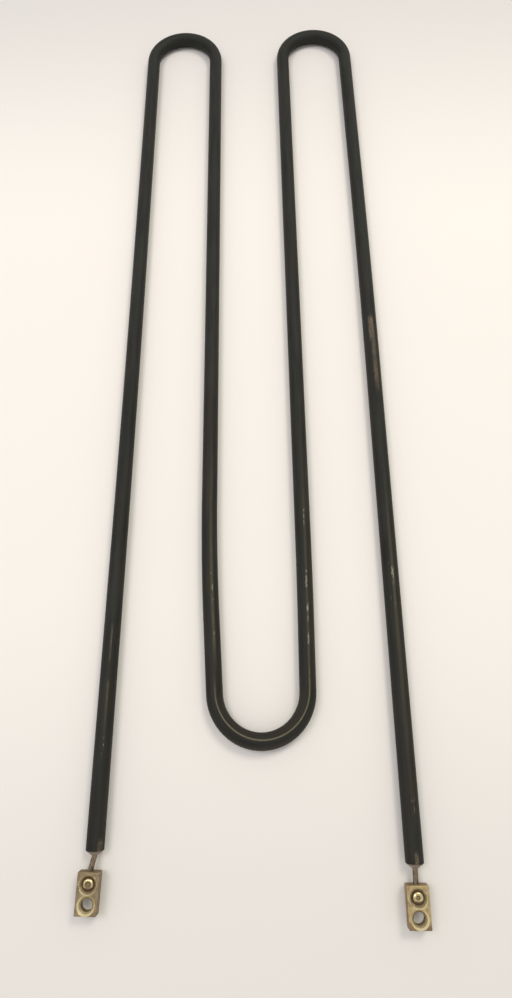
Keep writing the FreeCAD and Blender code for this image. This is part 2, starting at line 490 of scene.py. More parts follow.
class NodeSheet:
    """Adds nodes to one tree. An input is another node's output or a plain value."""

    def __init__(self, tree: bpy.types.NodeTree) -> None:
        """Takes the tree that the nodes go into."""
        self.tree = tree

    def feed(self, socket: Socket, value: Input) -> None:
        """Links an output to an input, or sets the input's value.

        Args:
            socket: The input.
            value: Another node's output, or a plain value.
        """
        if isinstance(value, bpy.types.NodeSocket):
            self.tree.links.new(value, socket)
        else:
            socket.default_value = value

    def node(self, kind: str, inputs: dict[str | int, Input] | None = None,
             **settings: object) -> bpy.types.Node:
        """Adds a node.

        Args:
            kind: The node's type.
            inputs: Values by the input's name or number.
            **settings: The node's own settings.

        Returns:
            The node.
        """
        made = self.tree.nodes.new(kind)
        for name, value in settings.items():
            setattr(made, name, value)
        for key, value in (inputs or {}).items():
            self.feed(made.inputs[key], value)
        return made

    def math(self, operation: str, first: Input, second: Input = 0.0, third: Input = 0.0) -> Socket:
        """The result of a sum on numbers."""
        inputs = {0: first, 1: second, 2: third}
        return self.node("ShaderNodeMath", inputs, operation=operation).outputs[0]

    def times(self, first: Input, second: Input) -> Socket:
        """One number times another."""
        return self.math("MULTIPLY", first, second)

    def plus(self, first: Input, second: Input) -> Socket:
        """One number plus another."""
        return self.math("ADD", first, second)

    def minus(self, first: Input, second: Input) -> Socket:
        """One number less another."""
        return self.math("SUBTRACT", first, second)

    def larger(self, first: Input, second: Input) -> Socket:
        """The larger of two numbers."""
        return self.math("MAXIMUM", first, second)

    def smaller(self, first: Input, second: Input) -> Socket:
        """The smaller of two numbers."""
        return self.math("MINIMUM", first, second)

    def frayed(self, value: Input, grain: Input, spread: float) -> Socket:
        """A value that a grain moves up and down by half the spread."""
        return self.math("MULTIPLY_ADD", self.minus(grain, 0.5), spread, value)

    def vector(self, operation: str, first: Input, second: Input = (0.0, 0.0, 0.0)) -> Socket:
        """The result of a sum on vectors."""
        return self.node("ShaderNodeVectorMath", {0: first, 1: second}, operation=operation).outputs[0]

    def parts(self, vector: Socket) -> tuple[Socket, ...]:
        """A vector's three numbers."""
        return tuple(self.node("ShaderNodeSeparateXYZ", {0: vector}).outputs)

    def off_axis(self, place: Socket) -> Socket:
        """How far a place is from its own Z axis."""
        x, y, _ = self.parts(place)
        return self.math("SQRT", self.plus(self.times(x, x), self.times(y, y)))

    def soft(self, value: Input, low: Input, high: Input) -> Socket:
        """0 at low, 1 at high, smooth between. Low may be above high."""
        inputs = {"Value": value, "From Min": low, "From Max": high}
        return self.node("ShaderNodeMapRange", inputs, interpolation_type="SMOOTHSTEP").outputs[0]

    def mix(self, share: Input, first: Input, second: Input) -> Socket:
        """Two colours mixed."""
        return self.node("ShaderNodeMix", {0: share, 6: first, 7: second}, data_type="RGBA").outputs[2]

    def between(self, share: Input, first: Input, second: Input) -> Socket:
        """Two numbers mixed."""
        return self.node("ShaderNodeMix", {0: share, 2: first, 3: second}, data_type="FLOAT").outputs[0]

    def noise(self, place: Input, scale: float, detail: float, **shape: float) -> Socket:
        """Cloudy noise about 0.5. The shape is its Roughness and Distortion."""
        return self.node("ShaderNodeTexNoise",
                         {"Vector": place, "Scale": scale, "Detail": detail, **shape}).outputs[0]

    def attribute(self, name: str) -> Socket:
        """A value that the mesh keeps at each point."""
        made = self.node("ShaderNodeAttribute", attribute_name=name, attribute_type="GEOMETRY")
        return made.outputs["Vector"]

    def group(self, tree: bpy.types.NodeTree, **inputs: Input) -> bpy.types.Node:
        """Places a node group.

        Args:
            tree: The group.
            **inputs: Its inputs. A keyword has an underscore where the input's name has a space.

        Returns:
            The node.
        """
        made = self.node("ShaderNodeGroup", node_tree=tree)
        for name, value in inputs.items():
            self.feed(made.inputs[name.replace("_", " ")], value)
        return made


GroupStart = tuple[bpy.types.NodeTree, NodeSheet, bpy.types.Node, bpy.types.Node]


class Effects:
    """The node groups that the finishes share, each built once."""

    def __init__(self) -> None:
        """Builds every group."""
        self.grain_group = self._grain()
        self.blotch_group = self._blotches()
        self.edge_wear = self._edge_wear()
        self.hole_rings = self._hole_rings()

    @staticmethod
    def _new(name: str, inputs: dict[str, str], outputs: dict[str, str]) -> GroupStart:
        """An empty group with its sockets.

        Args:
            name: The group's name.
            inputs: Socket kinds by name.
            outputs: Socket kinds by name.

        Returns:
            The group, its sheet, and its input and output nodes.
        """
        tree = bpy.data.node_groups.new(name, "ShaderNodeTree")
        for way, sockets in (("INPUT", inputs), ("OUTPUT", outputs)):
            for label, kind in sockets.items():
                tree.interface.new_socket(name=label, in_out=way, socket_type=f"NodeSocket{kind}")
        sheet = NodeSheet(tree)
        return tree, sheet, sheet.node("NodeGroupInput"), sheet.node("NodeGroupOutput")

    def _grain(self) -> bpy.types.NodeTree:
        """Fine noise, drawn out along one way.

        Returns:
            The group. Its Size is how long a grain is each way.
        """
        tree, sheet, given, result = self._new(
            "Grain", {"Place": "Vector", "Size": "Vector", "Contrast": "Float"}, {"Value": "Float"})
        place = sheet.vector("DIVIDE", given.outputs["Place"], given.outputs["Size"])
        centred = sheet.minus(sheet.noise(place, 1.0, 5.0, Roughness=0.6), 0.5)
        spread = sheet.math("MULTIPLY_ADD", centred, given.outputs["Contrast"], 0.5)
        sheet.feed(result.inputs["Value"], sheet.smaller(sheet.larger(spread, 0.0), 1.0))
        return tree

    def _blotches(self) -> bpy.types.NodeTree:
        """Soft-edged patches.

        Returns:
            The group. Its Cover is the share of the surface that the patches take.
        """
        tree, sheet, given, result = self._new(
            "Blotches", {"Place": "Vector", "Size": "Vector", "Cover": "Float", "Softness": "Float"},
            {"Mask": "Float"})
        place = sheet.vector("DIVIDE", given.outputs["Place"], given.outputs["Size"])
        cloud = sheet.noise(place, 1.0, 3.0, Roughness=0.55, Distortion=0.6)
        middle = sheet.math("MULTIPLY_ADD", given.outputs["Cover"], -0.5, 0.75)
        low = sheet.minus(middle, given.outputs["Softness"])
        high = sheet.plus(middle, given.outputs["Softness"])
        sheet.feed(result.inputs["Mask"], sheet.soft(cloud, low, high))
        return tree

    def _edge_wear(self) -> bpy.types.NodeTree:
        """Where a box is worn: near its edges, in broken lengths.

        Returns:
            The group. Its Place is measured from the box's middle.
        """
        tree, sheet, given, result = self._new(
            "Edge wear", {"Place": "Vector", "Half Size": "Vector", "Width": "Float", "Break": "Float"},
            {"Mask": "Float"})
        outward = sheet.vector("ABSOLUTE", given.outputs["Place"])
        x, y, z = sheet.parts(sheet.vector("SUBTRACT", given.outputs["Half Size"], outward))
        # The second smallest distance to a face is small only near an edge.
        second = sheet.larger(sheet.smaller(x, y), sheet.smaller(sheet.larger(x, y), z))
        near = sheet.soft(sheet.math("DIVIDE", second, given.outputs["Width"]), 1.0, 0.2)
        broken = sheet.noise(given.outputs["Place"], 900.0, 4.0)
        kept = sheet.soft(sheet.minus(broken, sheet.times(given.outputs["Break"], 0.5)), 0.1, 0.4)
        sheet.feed(result.inputs["Mask"], sheet.times(near, kept))
        return tree

    def _hole_rings(self) -> bpy.types.NodeTree:
        """How far a place is from the axes of a block's two holes.

        Returns:
            The group. First and Second are the axes' places.
        """
        tree, sheet, given, result = self._new(
            "Hole rings", {"Place": "Vector", "First": "Vector", "Second": "Vector"},
            {"Clamp Radius": "Float", "Lead Radius": "Float", "Nearest": "Float"})
        flat = sheet.vector("MULTIPLY", given.outputs["Place"], (1.0, 1.0, 0.0))
        reach = []
        for name, radius in (("First", "Clamp Radius"), ("Second", "Lead Radius")):
            away = sheet.vector("SUBTRACT", flat, given.outputs[name])
            length = sheet.node("ShaderNodeVectorMath", {0: away}, operation="LENGTH").outputs["Value"]
            sheet.feed(result.inputs[radius], length)
            reach.append(length)
        sheet.feed(result.inputs["Nearest"], sheet.smaller(*reach))
        return tree

    def grain(self, sheet: NodeSheet, place: Socket, size: Size, contrast: float) -> Socket:
        """Places the grain in a finish.

        Args:
            sheet: The finish's sheet.
            place: The coordinates that it follows.
            size: How long a grain is, one number or one each way.
            contrast: How far it strays from 0.5.

        Returns:
            Its value, from 0 to 1.
        """
        made = sheet.group(self.grain_group, Place=place, Size=each_way(size), Contrast=contrast)
        return made.outputs[0]

    def blotches(self, sheet: NodeSheet, place: Socket, size: Size, cover: float, softness: float) -> Socket:
        """Places the blotches in a finish.

        Args:
            sheet: The finish's sheet.
            place: The coordinates that they follow.
            size: How long a patch is, one number or one each way.
            cover: The share of the surface that they take.
            softness: How soft their edges are.

        Returns:
            1 inside a patch, 0 outside.
        """
        made = sheet.group(self.blotch_group, Place=place, Size=each_way(size), Cover=cover,
                           Softness=softness)
        return made.outputs[0]


def each_way(size: Size) -> tuple[float, float, float]:
    """A size along each of three ways."""
    return size if isinstance(size, tuple) else (size, size, size)


def new_finish(name: str) -> tuple[bpy.types.Material, NodeSheet, bpy.types.Node]:
    """An empty material.

    Args:
        name: The material's name.

    Returns:
        The material, its sheet and its shader.
    """
    material = bpy.data.materials.new(name)
    material.use_nodes = True
    material.node_tree.nodes.clear()
    sheet = NodeSheet(material.node_tree)
    shader = sheet.node("ShaderNodeBsdfPrincipled")
    sheet.node("ShaderNodeOutputMaterial", {"Surface": shader.outputs[0]})
    return material, sheet, shader


def add_bump(sheet: NodeSheet, shader: bpy.types.Node, height: Socket, depth: float,
             strength: float = 0.5) -> None:
    """Feeds a shader's normal from a height.

    Args:
        sheet: The material's sheet.
        shader: Its shader.
        height: The height, from 0 to 1.
        depth: How deep a height of 1 is, in metres.
        strength: The bump's share.
    """
    bump = sheet.node("ShaderNodeBump", {"Height": height, "Distance": depth, "Strength": strength})
    sheet.feed(shader.inputs["Normal"], bump.outputs[0])


@dataclass(frozen=True)
class SheathFinish:
    """Matte black oxide on steel, with a worn line along the crest that is also a painted highlight, and tan,
    pale and rusty marks.
    """

    black: Colour = tone(26, 27, 23)
    brown_black: Colour = tone(41, 37, 30)
    grey_black: Colour = tone(42, 43, 37)
    rust: Colour = tone(58, 47, 37)
    line_rub_and_highlight: Colour = tone(144, 137, 107)
    haze_rub_and_sheen: Colour = tone(86, 79, 58)
    tan: Colour = tone(110, 95, 77)
    pale: Colour = tone(146, 142, 124)
    grain: Size = (1.6 * MM, 0.35 * MM, 0.35 * MM)
    speck: Size = 0.22 * MM
    cloud: Size = (38 * MM, 4.5 * MM, 4.5 * MM)
    grey_offset: Size = (0.7, 0.2, 0.1)
    dash: Size = (7 * MM, 1.2 * MM, 1.2 * MM)
    line_half_width: float = 0.31 * MM
    line_roughness: float = 0.36
    specular: float = 0.24
    relief_depth: float = 0.03 * MM

    def _rub_and_highlight_masks(self, sheet: NodeSheet, grain: Socket, dashes: Socket) -> tuple[Socket, Socket]:
        """Where the crest carries the worn line and its painted highlight.

        Args:
            sheet: The material's sheet.
            grain: The oxide's grain.
            dashes: Broken lengths along the rod.

        Returns:
            The line, worn bare and painted as a highlight, and the haze on both sides of it, part wear and
            part painted sheen.
        """
        offset, strength, breadth = sheet.parts(sheet.attribute(RUB_AND_HIGHLIGHT))
        half_width = sheet.times(breadth, self.line_half_width)
        away = sheet.math("DIVIDE", sheet.math("ABSOLUTE", offset), half_width)
        # A strong worn line with its painted highlight is unbroken. A weak one shows only where the metal
        # stands proud.
        proud = sheet.times(dashes, sheet.soft(grain, 0.38, 0.62))
        whole = sheet.larger(sheet.soft(strength, 0.62, 1.0), proud)
        line = sheet.times(sheet.times(sheet.soft(away, 1.25, 0.15), whole), sheet.soft(strength, 0.22, 0.85))
        haze = sheet.times(sheet.soft(away, 2.9, 1.0), sheet.soft(strength, 0.0, 0.55))
        return line, sheet.times(haze, sheet.between(grain, 0.45, 0.8))

    def build(self, effects: Effects) -> bpy.types.Material:
        """Makes the material.

        Args:
            effects: The shared groups.

        Returns:
            The material.
        """
        material, sheet, shader = new_finish("oxidised sheath")
        place = sheet.attribute(LOCAL)
        grain = effects.grain(sheet, place, self.grain, contrast=1.6)
        brown = effects.blotches(sheet, place, self.cloud, cover=0.5, softness=0.16)
        elsewhere = sheet.vector("ADD", place, self.grey_offset)
        grey = effects.blotches(sheet, elsewhere, self.cloud, cover=0.45, softness=0.14)
        dashes = effects.blotches(sheet, place, self.dash, cover=0.5, softness=0.07)
        tan, pale, rust = sheet.parts(sheet.attribute(MARKS))
        line, haze = self._rub_and_highlight_masks(sheet, grain, dashes)

        colour = sheet.mix(sheet.times(brown, 0.8), self.black, self.brown_black)
        colour = sheet.mix(sheet.times(grey, 0.7), colour, self.grey_black)
        colour = sheet.mix(sheet.times(sheet.soft(grain, 0.5, 0.85), 0.6), colour, self.grey_black)
        colour = sheet.mix(sheet.times(rust, sheet.between(brown, 0.45, 1.0)), colour, self.rust)
        # Painted sheen in the haze, and a painted highlight on the worn line along the crest
        colour = sheet.mix(haze, colour, self.haze_rub_and_sheen)
        colour = sheet.mix(sheet.times(line, sheet.between(grain, 0.55, 1.0)), colour, self.line_rub_and_highlight)
        worn = sheet.soft(sheet.frayed(tan, grain, 1.1), 0.1, 0.9)
        worn = sheet.times(worn, sheet.between(dashes, 0.7, 1.0))
        colour = sheet.mix(sheet.times(worn, sheet.soft(tan, 0.02, 0.4)), colour, self.tan)
        scuffed = sheet.soft(sheet.frayed(pale, grain, 1.6), 0.45, 0.9)
        colour = sheet.mix(sheet.times(scuffed, sheet.soft(pale, 0.02, 0.4)), colour, self.pale)
        sheet.feed(shader.inputs["Base Color"], colour)

        rough = sheet.between(line, sheet.between(grain, 0.5, 0.68), self.line_roughness)
        sheet.feed(shader.inputs["Roughness"], rough)
        shader.inputs["Metallic"].default_value = 0.0
        shader.inputs["Specular IOR Level"].default_value = self.specular
        speck = effects.grain(sheet, place, self.speck, contrast=2.2)
        relief = sheet.plus(sheet.times(grain, 0.7), sheet.times(speck, 0.3))
        add_bump(sheet, shader, relief, self.relief_depth, 0.6)
        return material


@dataclass(frozen=True)
class BrassFinish:
    """A brass block with tarnished faces, painted shade on its walls and down its holes, cut countersinks
    with painted highlights at their rims and painted shade on their slopes, and grime round the clamp screw.
    """

    name: str
    face: Colour
    face_warm: Colour
    stain: Colour
    stain_cover: float
    end_stain: float
    lead_bright: float
    # Bright cut brass, painted as a highlight at the countersinks' rims and used on worn edges; below it the
    # painted shade on the countersinks' slopes
    cut: Colour = tone(238, 224, 178)
    dull_and_shaded_cut: Colour = tone(148, 127, 94)
    # Dark brown for the grime round the clamp screw and the painted shade down the holes
    dark_brown: Colour = tone(72, 56, 40)
    cast_grain: Size = 0.3 * MM
    warm_patch: Size = 2.4 * MM
    stain_patch: Size = 3.4 * MM
    stain_offset: Size = (0.3, 0.4, 0.1)
    crust: Size = 1.1 * MM
    edge_width: float = 0.3 * MM
    relief_depth: float = 0.05 * MM

    def build(self, effects: Effects, block: BlockSizes) -> bpy.types.Material:
        """Makes the material.

        Args:
            effects: The shared groups.
            block: The block's sizes, which give the holes' places.

        Returns:
            The material.
        """
        material, sheet, shader = new_finish(self.name)
        place = sheet.attribute(LOCAL)
        _, along, height = sheet.parts(place)
        grain = effects.grain(sheet, place, self.cast_grain, contrast=2.0)
        rings = sheet.group(effects.hole_rings, Place=place, First=(0.0, block.hole_y(0), 0.0),
                            Second=(0.0, block.hole_y(1), 0.0))
        clamp, lead, nearest = (rings.outputs[name] for name in ("Clamp Radius", "Lead Radius", "Nearest"))

        # Tarnish on the faces, more stained towards the far end, with painted shade on the walls and
        # everywhere below the top face
        warm = effects.blotches(sheet, place, self.warm_patch, cover=0.5, softness=0.15)
        elsewhere = sheet.vector("ADD", place, self.stain_offset)
        stain = effects.blotches(sheet, elsewhere, self.stain_patch, cover=self.stain_cover, softness=0.12)
        at_end = sheet.soft(along, -block.length + 4.5 * MM, -block.length + 0.6 * MM)
        wall_shade = sheet.soft(height, block.thickness - 0.2 * MM, block.thickness - 0.6 * MM)
        stain_and_wall_shade = sheet.larger(sheet.times(at_end, self.end_stain), sheet.times(wall_shade, 0.65))
        colour = sheet.mix(warm, self.face, self.face_warm)
        colour = sheet.mix(sheet.times(stain, 0.75), colour, self.stain)
        colour = sheet.mix(sheet.times(sheet.soft(grain, 0.6, 0.2), 0.3), colour, self.stain)
        colour = sheet.mix(stain_and_wall_shade, colour, self.stain)

        # The cut countersinks, with a painted highlight towards their rims and painted shade on their slopes,
        # and the block's worn edges
        above = sheet.soft(height, block.sink_start - 0.15 * MM, block.sink_start + 0.1 * MM)
        below_face = sheet.soft(height, block.thickness - 0.01 * MM, block.thickness - 0.12 * MM)
        slope = sheet.times(above, below_face)
        clamp_cut, lead_cut = (
            sheet.times(slope, sheet.soft(radius, block.sink_r + 0.12 * MM, block.sink_r - 0.05 * MM))
            for radius in (clamp, lead))
        # The lead countersink is painted bright as a highlight near its rim and left in painted shade further
        # in
        lead_rim_highlight = sheet.soft(lead, block.sink_r - 1.0 * MM, block.sink_r - 0.6 * MM)
        lead_rim_highlight = sheet.times(lead_cut, sheet.between(lead_rim_highlight, self.lead_bright, 1.0))
        # A narrow painted highlight at the clamp countersink's rim
        clamp_rim_highlight = sheet.soft(clamp, block.sink_r - 0.4 * MM, block.sink_r - 0.15 * MM)
        clamp_rim_highlight = sheet.times(sheet.times(clamp_cut, clamp_rim_highlight), 0.85)
        middle = sheet.vector("SUBTRACT", place, (0.0, -block.length / 2, block.thickness / 2))
        half_size = (block.width / 2, block.length / 2, block.thickness / 2)
        wear = sheet.group(effects.edge_wear, Place=middle, Half_Size=half_size, Width=self.edge_width,
                           Break=0.7).outputs[0]
        lip = sheet.times(sheet.soft(nearest, block.sink_r + 0.22 * MM, block.sink_r),
                          sheet.soft(grain, 0.4, 0.7))
        edges = sheet.times(sheet.larger(wear, lip), 0.45)
        # Painted highlights at both rims, and worn edges
        bright = sheet.larger(sheet.larger(lead_rim_highlight, clamp_rim_highlight), edges)
        colour = sheet.mix(sheet.larger(clamp_cut, lead_cut), colour, self.dull_and_shaded_cut)
        colour = sheet.mix(bright, colour, self.cut)

        # Grime round the clamp screw, and painted shade down both holes
        inner = sheet.soft(clamp, block.hole_r + 0.95 * MM, block.hole_r + 0.1 * MM)
        crust = effects.blotches(sheet, place, self.crust, cover=0.72, softness=0.12)
        dirt_and_bore_shade = sheet.times(sheet.times(inner, sheet.math("MULTIPLY_ADD", crust, 0.6, 0.4)), 0.85)
        # Painted shade on the bore walls below the countersinks
        bore = sheet.times(sheet.soft(nearest, block.hole_r + 0.5 * MM, block.hole_r),
                           sheet.soft(height, block.sink_start + 0.2 * MM, block.sink_start - 0.6 * MM))
        dirt_and_bore_shade = sheet.larger(dirt_and_bore_shade, sheet.times(bore, 0.45))
        sheet.feed(shader.inputs["Base Color"], sheet.mix(dirt_and_bore_shade, colour, self.dark_brown))

        metal = sheet.between(dirt_and_bore_shade, sheet.between(bright, 0.95, 0.7), 0.2)
        sheet.feed(shader.inputs["Metallic"], metal)
        rough = sheet.between(sheet.times(bright, sheet.minus(1.0, dirt_and_bore_shade)),
                              sheet.between(grain, 0.5, 0.72), 0.3)
        sheet.feed(shader.inputs["Roughness"], rough)
        add_bump(sheet, shader, grain, self.relief_depth, 0.55)
        return material


@dataclass(frozen=True)
class ScrewFinish:
    """A clamp screw: bright on its dome, with brown painted shade in its dimple, in its gap and on its side
    towards the lead hole, and a lighter pip.
    """

    name: str
    brown_r: float
    bright: Colour = tone(238, 222, 172)
    dull: Colour = tone(196, 176, 128)
    brown: Colour = tone(112, 92, 64)
    pip: Colour = tone(168, 148, 112)
    grain: Size = 0.25 * MM
    dull_patch: Size = 1.2 * MM
    relief_depth: float = 0.03 * MM

    def build(self, effects: Effects, screw: ScrewSizes) -> bpy.types.Material:
        """Makes the material.

        Args:
            effects: The shared groups.
            screw: The screw's sizes, which give its gap's place.

        Returns:
            The material.
        """
        material, sheet, shader = new_finish(self.name)
        place = sheet.attribute(LOCAL)
        _, y, _ = sheet.parts(place)
        radius = sheet.off_axis(place)
        grain = effects.grain(sheet, place, self.grain, contrast=2.0)
        dull = effects.blotches(sheet, place, self.dull_patch, cover=0.4, softness=0.14)
        # Painted shade in the dimple, at the gap round the screw and on the side towards the lead hole; the
        # pip is painted lighter
        dimple = sheet.soft(sheet.frayed(radius, dull, 0.3 * MM),
                            self.brown_r + 0.15 * MM, self.brown_r - 0.2 * MM)
        pip = sheet.soft(radius, 0.5 * MM, 0.25 * MM)
        gap = sheet.soft(radius, screw.radius - 0.55 * MM, screw.radius - 0.15 * MM)
        shady = sheet.soft(sheet.plus(y, sheet.times(dull, 0.5 * MM)), -0.5 * MM, -1.5 * MM)
        brown = sheet.larger(sheet.times(dimple, 0.9), sheet.larger(gap, shady))
        colour = sheet.mix(sheet.times(dull, 0.8), self.bright, self.dull)
        colour = sheet.mix(brown, colour, self.brown)
        colour = sheet.mix(sheet.times(pip, 0.7), colour, self.pip)
        sheet.feed(shader.inputs["Base Color"], colour)
        sheet.feed(shader.inputs["Metallic"], sheet.between(brown, 1.0, 0.5))
        sheet.feed(shader.inputs["Roughness"], sheet.between(brown, sheet.between(grain, 0.24, 0.4), 0.55))
        add_bump(sheet, shader, grain, self.relief_depth)
        return material


@dataclass(frozen=True)
class PinFinish:
    """Bare drawn steel, browned, with a lighter streak along it."""

    steel: Colour = tone(152, 138, 116)
    brown: Colour = tone(94, 77, 57)
    streak: Colour = tone(216, 202, 178)
    grain: Size = (2.2 * MM, 0.16 * MM, 0.16 * MM)
    stain: Size = (3 * MM, 0.9 * MM, 0.9 * MM)
    metallic: float = 0.85
    relief_depth: float = 0.02 * MM

    def build(self, effects: Effects) -> bpy.types.Material:
        """Makes the material.

        Args:
            effects: The shared groups.

        Returns:
            The material.
        """
        material, sheet, shader = new_finish("browned pin steel")
        place = sheet.attribute(LOCAL)
        grain = effects.grain(sheet, place, self.grain, contrast=2.0)
        stain = effects.blotches(sheet, place, self.stain, cover=0.55, softness=0.15)
        colour = sheet.mix(stain, self.steel, self.brown)
        colour = sheet.mix(sheet.times(sheet.soft(grain, 0.55, 0.9), 0.7), colour, self.streak)
        sheet.feed(shader.inputs["Base Color"], colour)
        shader.inputs["Metallic"].default_value = self.metallic
        sheet.feed(shader.inputs["Roughness"], sheet.between(grain, 0.34, 0.52))
        add_bump(sheet, shader, grain, self.relief_depth)
        return material


@dataclass(frozen=True)
class SealFinish:
    """Cast tan resin, darker towards the sheath."""

    tan: Colour = tone(160, 146, 130)
    pink: Colour = tone(148, 128, 112)
    dark_brown: Colour = tone(84, 70, 58)
    grain: Size = 0.3 * MM
    pink_patch: Size = 1.6 * MM
    darkening_start_r: float = 3.2 * MM
    darkening_end_r: float = 4.0 * MM
    relief_depth: float = 0.08 * MM

    def build(self, effects: Effects) -> bpy.types.Material:
        """Makes the material.

        Args:
            effects: The shared groups.

        Returns:
            The material.
        """
        material, sheet, shader = new_finish("tan seal resin")
        place = sheet.attribute(LOCAL)
        grain = effects.grain(sheet, place, self.grain, contrast=1.8)
        pink = effects.blotches(sheet, place, self.pink_patch, cover=0.55, softness=0.15)
        # Darker in grainy patches towards the outer edge, against the sheath
        rim = sheet.soft(sheet.off_axis(place), self.darkening_start_r, self.darkening_end_r)
        colour = sheet.mix(pink, self.tan, self.pink)
        colour = sheet.mix(sheet.times(rim, sheet.soft(grain, 0.3, 0.7)), colour, self.dark_brown)
        sheet.feed(shader.inputs["Base Color"], colour)
        sheet.feed(shader.inputs["Roughness"], sheet.between(grain, 0.5, 0.7))
        add_bump(sheet, shader, grain, self.relief_depth)
        return material


@dataclass(frozen=True)
class InnerFinish:
    """A plain grainy finish for a piece sealed inside the rod."""

    name: str
    light: Colour
    dark: Colour
    metallic: float
    roughness: float
    grain: float
    roughness_spread: float = 0.1

    def build(self, effects: Effects) -> bpy.types.Material:
        """Makes the material.

        Args:
            effects: The shared groups.

        Returns:
            The material.
        """
        material, sheet, shader = new_finish(self.name)
        place = sheet.node("ShaderNodeTexCoord").outputs["Object"]
        grain = effects.grain(sheet, place, self.grain, contrast=2.0)
        smooth, rough = self.roughness - self.roughness_spread, self.roughness + self.roughness_spread
        sheet.feed(shader.inputs["Base Color"], sheet.mix(grain, self.dark, self.light))
        shader.inputs["Metallic"].default_value = self.metallic
        sheet.feed(shader.inputs["Roughness"], sheet.between(grain, smooth, rough))
        add_bump(sheet, shader, grain, self.grain / 6)
        return material


# The rod


@dataclass(frozen=True)
class RodRoute:
    """The rod's centre line: three half turns, and four legs with a gentle knee each."""

    far_bend_radius: float = 22.5 * MM
    near_bend_radius: float = 23.3 * MM
    left_bend: Vector = field(default_factory=lambda: plan(-44.6, 254.1))
    right_bend: Vector = field(default_factory=lambda: plan(49.2, 254.6))
    near_bend: Vector = field(default_factory=lambda: plan(4.3, -185.0))
    left_end: Vector = field(default_factory=lambda: plan(-73.8, -254.1))
    left_outer_knee: Vector = field(default_factory=lambda: plan(-69.8, -20.0))
    left_inner_knee: Vector = field(default_factory=lambda: plan(-22.7, -115.0))
    right_inner_knee: Vector = field(default_factory=lambda: plan(28.2, -130.0))
    right_outer_knee: Vector = field(default_factory=lambda: plan(73.7, 70.0))
    right_end: Vector = field(default_factory=lambda: plan(73.5, -260.8))

    @staticmethod
    def touch_point(outside: Vector, centre: Vector, radius: float, side: int) -> Vector:
        """Where the straight line from a point touches a bend.

        Args:
            outside: The point.
            centre: The bend's centre.
            radius: The bend's radius.
            side: 1 or -1, for one of the two tangents.

        Returns:
            The point of touch.
        """
        away = outside - centre
        heading = math.atan2(away.y, away.x) + side * math.acos(radius / away.length)
        return centre + Vector((math.cos(heading), math.sin(heading), 0.0)) * radius

    def spans(self) -> list[Span]:
        """Every span of the rod.

        Returns:
            The spans from the left end to the right one.
        """
        left_up = self.touch_point(self.left_outer_knee, self.left_bend, self.far_bend_radius, -1)
        left_down = self.touch_point(self.left_inner_knee, self.left_bend, self.far_bend_radius, 1)
        near_in = self.touch_point(self.left_inner_knee, self.near_bend, self.near_bend_radius, 1)
        near_out = self.touch_point(self.right_inner_knee, self.near_bend, self.near_bend_radius, -1)
        right_up = self.touch_point(self.right_inner_knee, self.right_bend, self.far_bend_radius, -1)
        right_down = self.touch_point(self.right_outer_knee, self.right_bend, self.far_bend_radius, 1)
        spans = rounded_run([self.left_end, self.left_outer_knee, left_up], RodPart.LEFT_OUTER_LEG)
        spans.append(Arc.between(self.left_bend, left_up, left_down, Turn.RIGHTWARD, RodPart.LEFT_BEND))
        spans += rounded_run([left_down, self.left_inner_knee, near_in], RodPart.LEFT_INNER_LEG)
        spans.append(Arc.between(self.near_bend, near_in, near_out, Turn.LEFTWARD, RodPart.NEAR_BEND))
        spans += rounded_run([near_out, self.right_inner_knee, right_up], RodPart.RIGHT_INNER_LEG)
        spans.append(Arc.between(self.right_bend, right_up, right_down, Turn.RIGHTWARD, RodPart.RIGHT_BEND))
        spans += rounded_run([right_down, self.right_outer_knee, self.right_end], RodPart.RIGHT_OUTER_LEG)
        return spans


@dataclass(frozen=True)
class RubAndHighlight:
    """A stretch where the crest carries the worn line and its painted highlight: how strongly at its two
    ends, and how broad the line is there.
    """

    part: RodPart
    y_from: float
    y_to: float
    strength_from: float
    strength_to: float
    breadth: float = 1.0
    tilt_deg: float = 0.0

    def holds(self, station: Station) -> bool:
        """Whether the stretch takes in a place."""
        low, high = sorted((self.y_from, self.y_to))
        return station.part is self.part and low * MM <= station.place.y <= high * MM

    def strength(self, station: Station) -> float:
        """How strongly a place carries the worn line and its painted highlight."""
        share = (station.place.y - self.y_from * MM) / ((self.y_to - self.y_from) * MM)
        return self.strength_from + (self.strength_to - self.strength_from) * share


@dataclass(frozen=True)
class Mark:
    """A mark by its middle, its length along Y, and its angle and width round the rod.

    The angle is from the top towards the right-hand side of the way along the rod from its left end.
    """

    part: RodPart
    y: float
    angle_deg: float
    length: float
    width_deg: float
    tan: float = 0.0
    pale: float = 0.0
    rust: float = 0.0

    def share(self, station: Station, angle: float) -> float:
        """How far inside the mark a place is.

        Args:
            station: The place, on the mark's own part of the rod.
            angle: Its angle from the top.

        Returns:
            0 outside the mark, 1 well inside it.
        """
        along = abs(station.place.y - self.y * MM) / (self.length * MM / 2)
        round_by = abs(math.degrees(angle) - self.angle_deg) / (self.width_deg / 2)
        return smooth_step(1.0, 0.45, along) * smooth_step(1.0, 0.35, round_by)


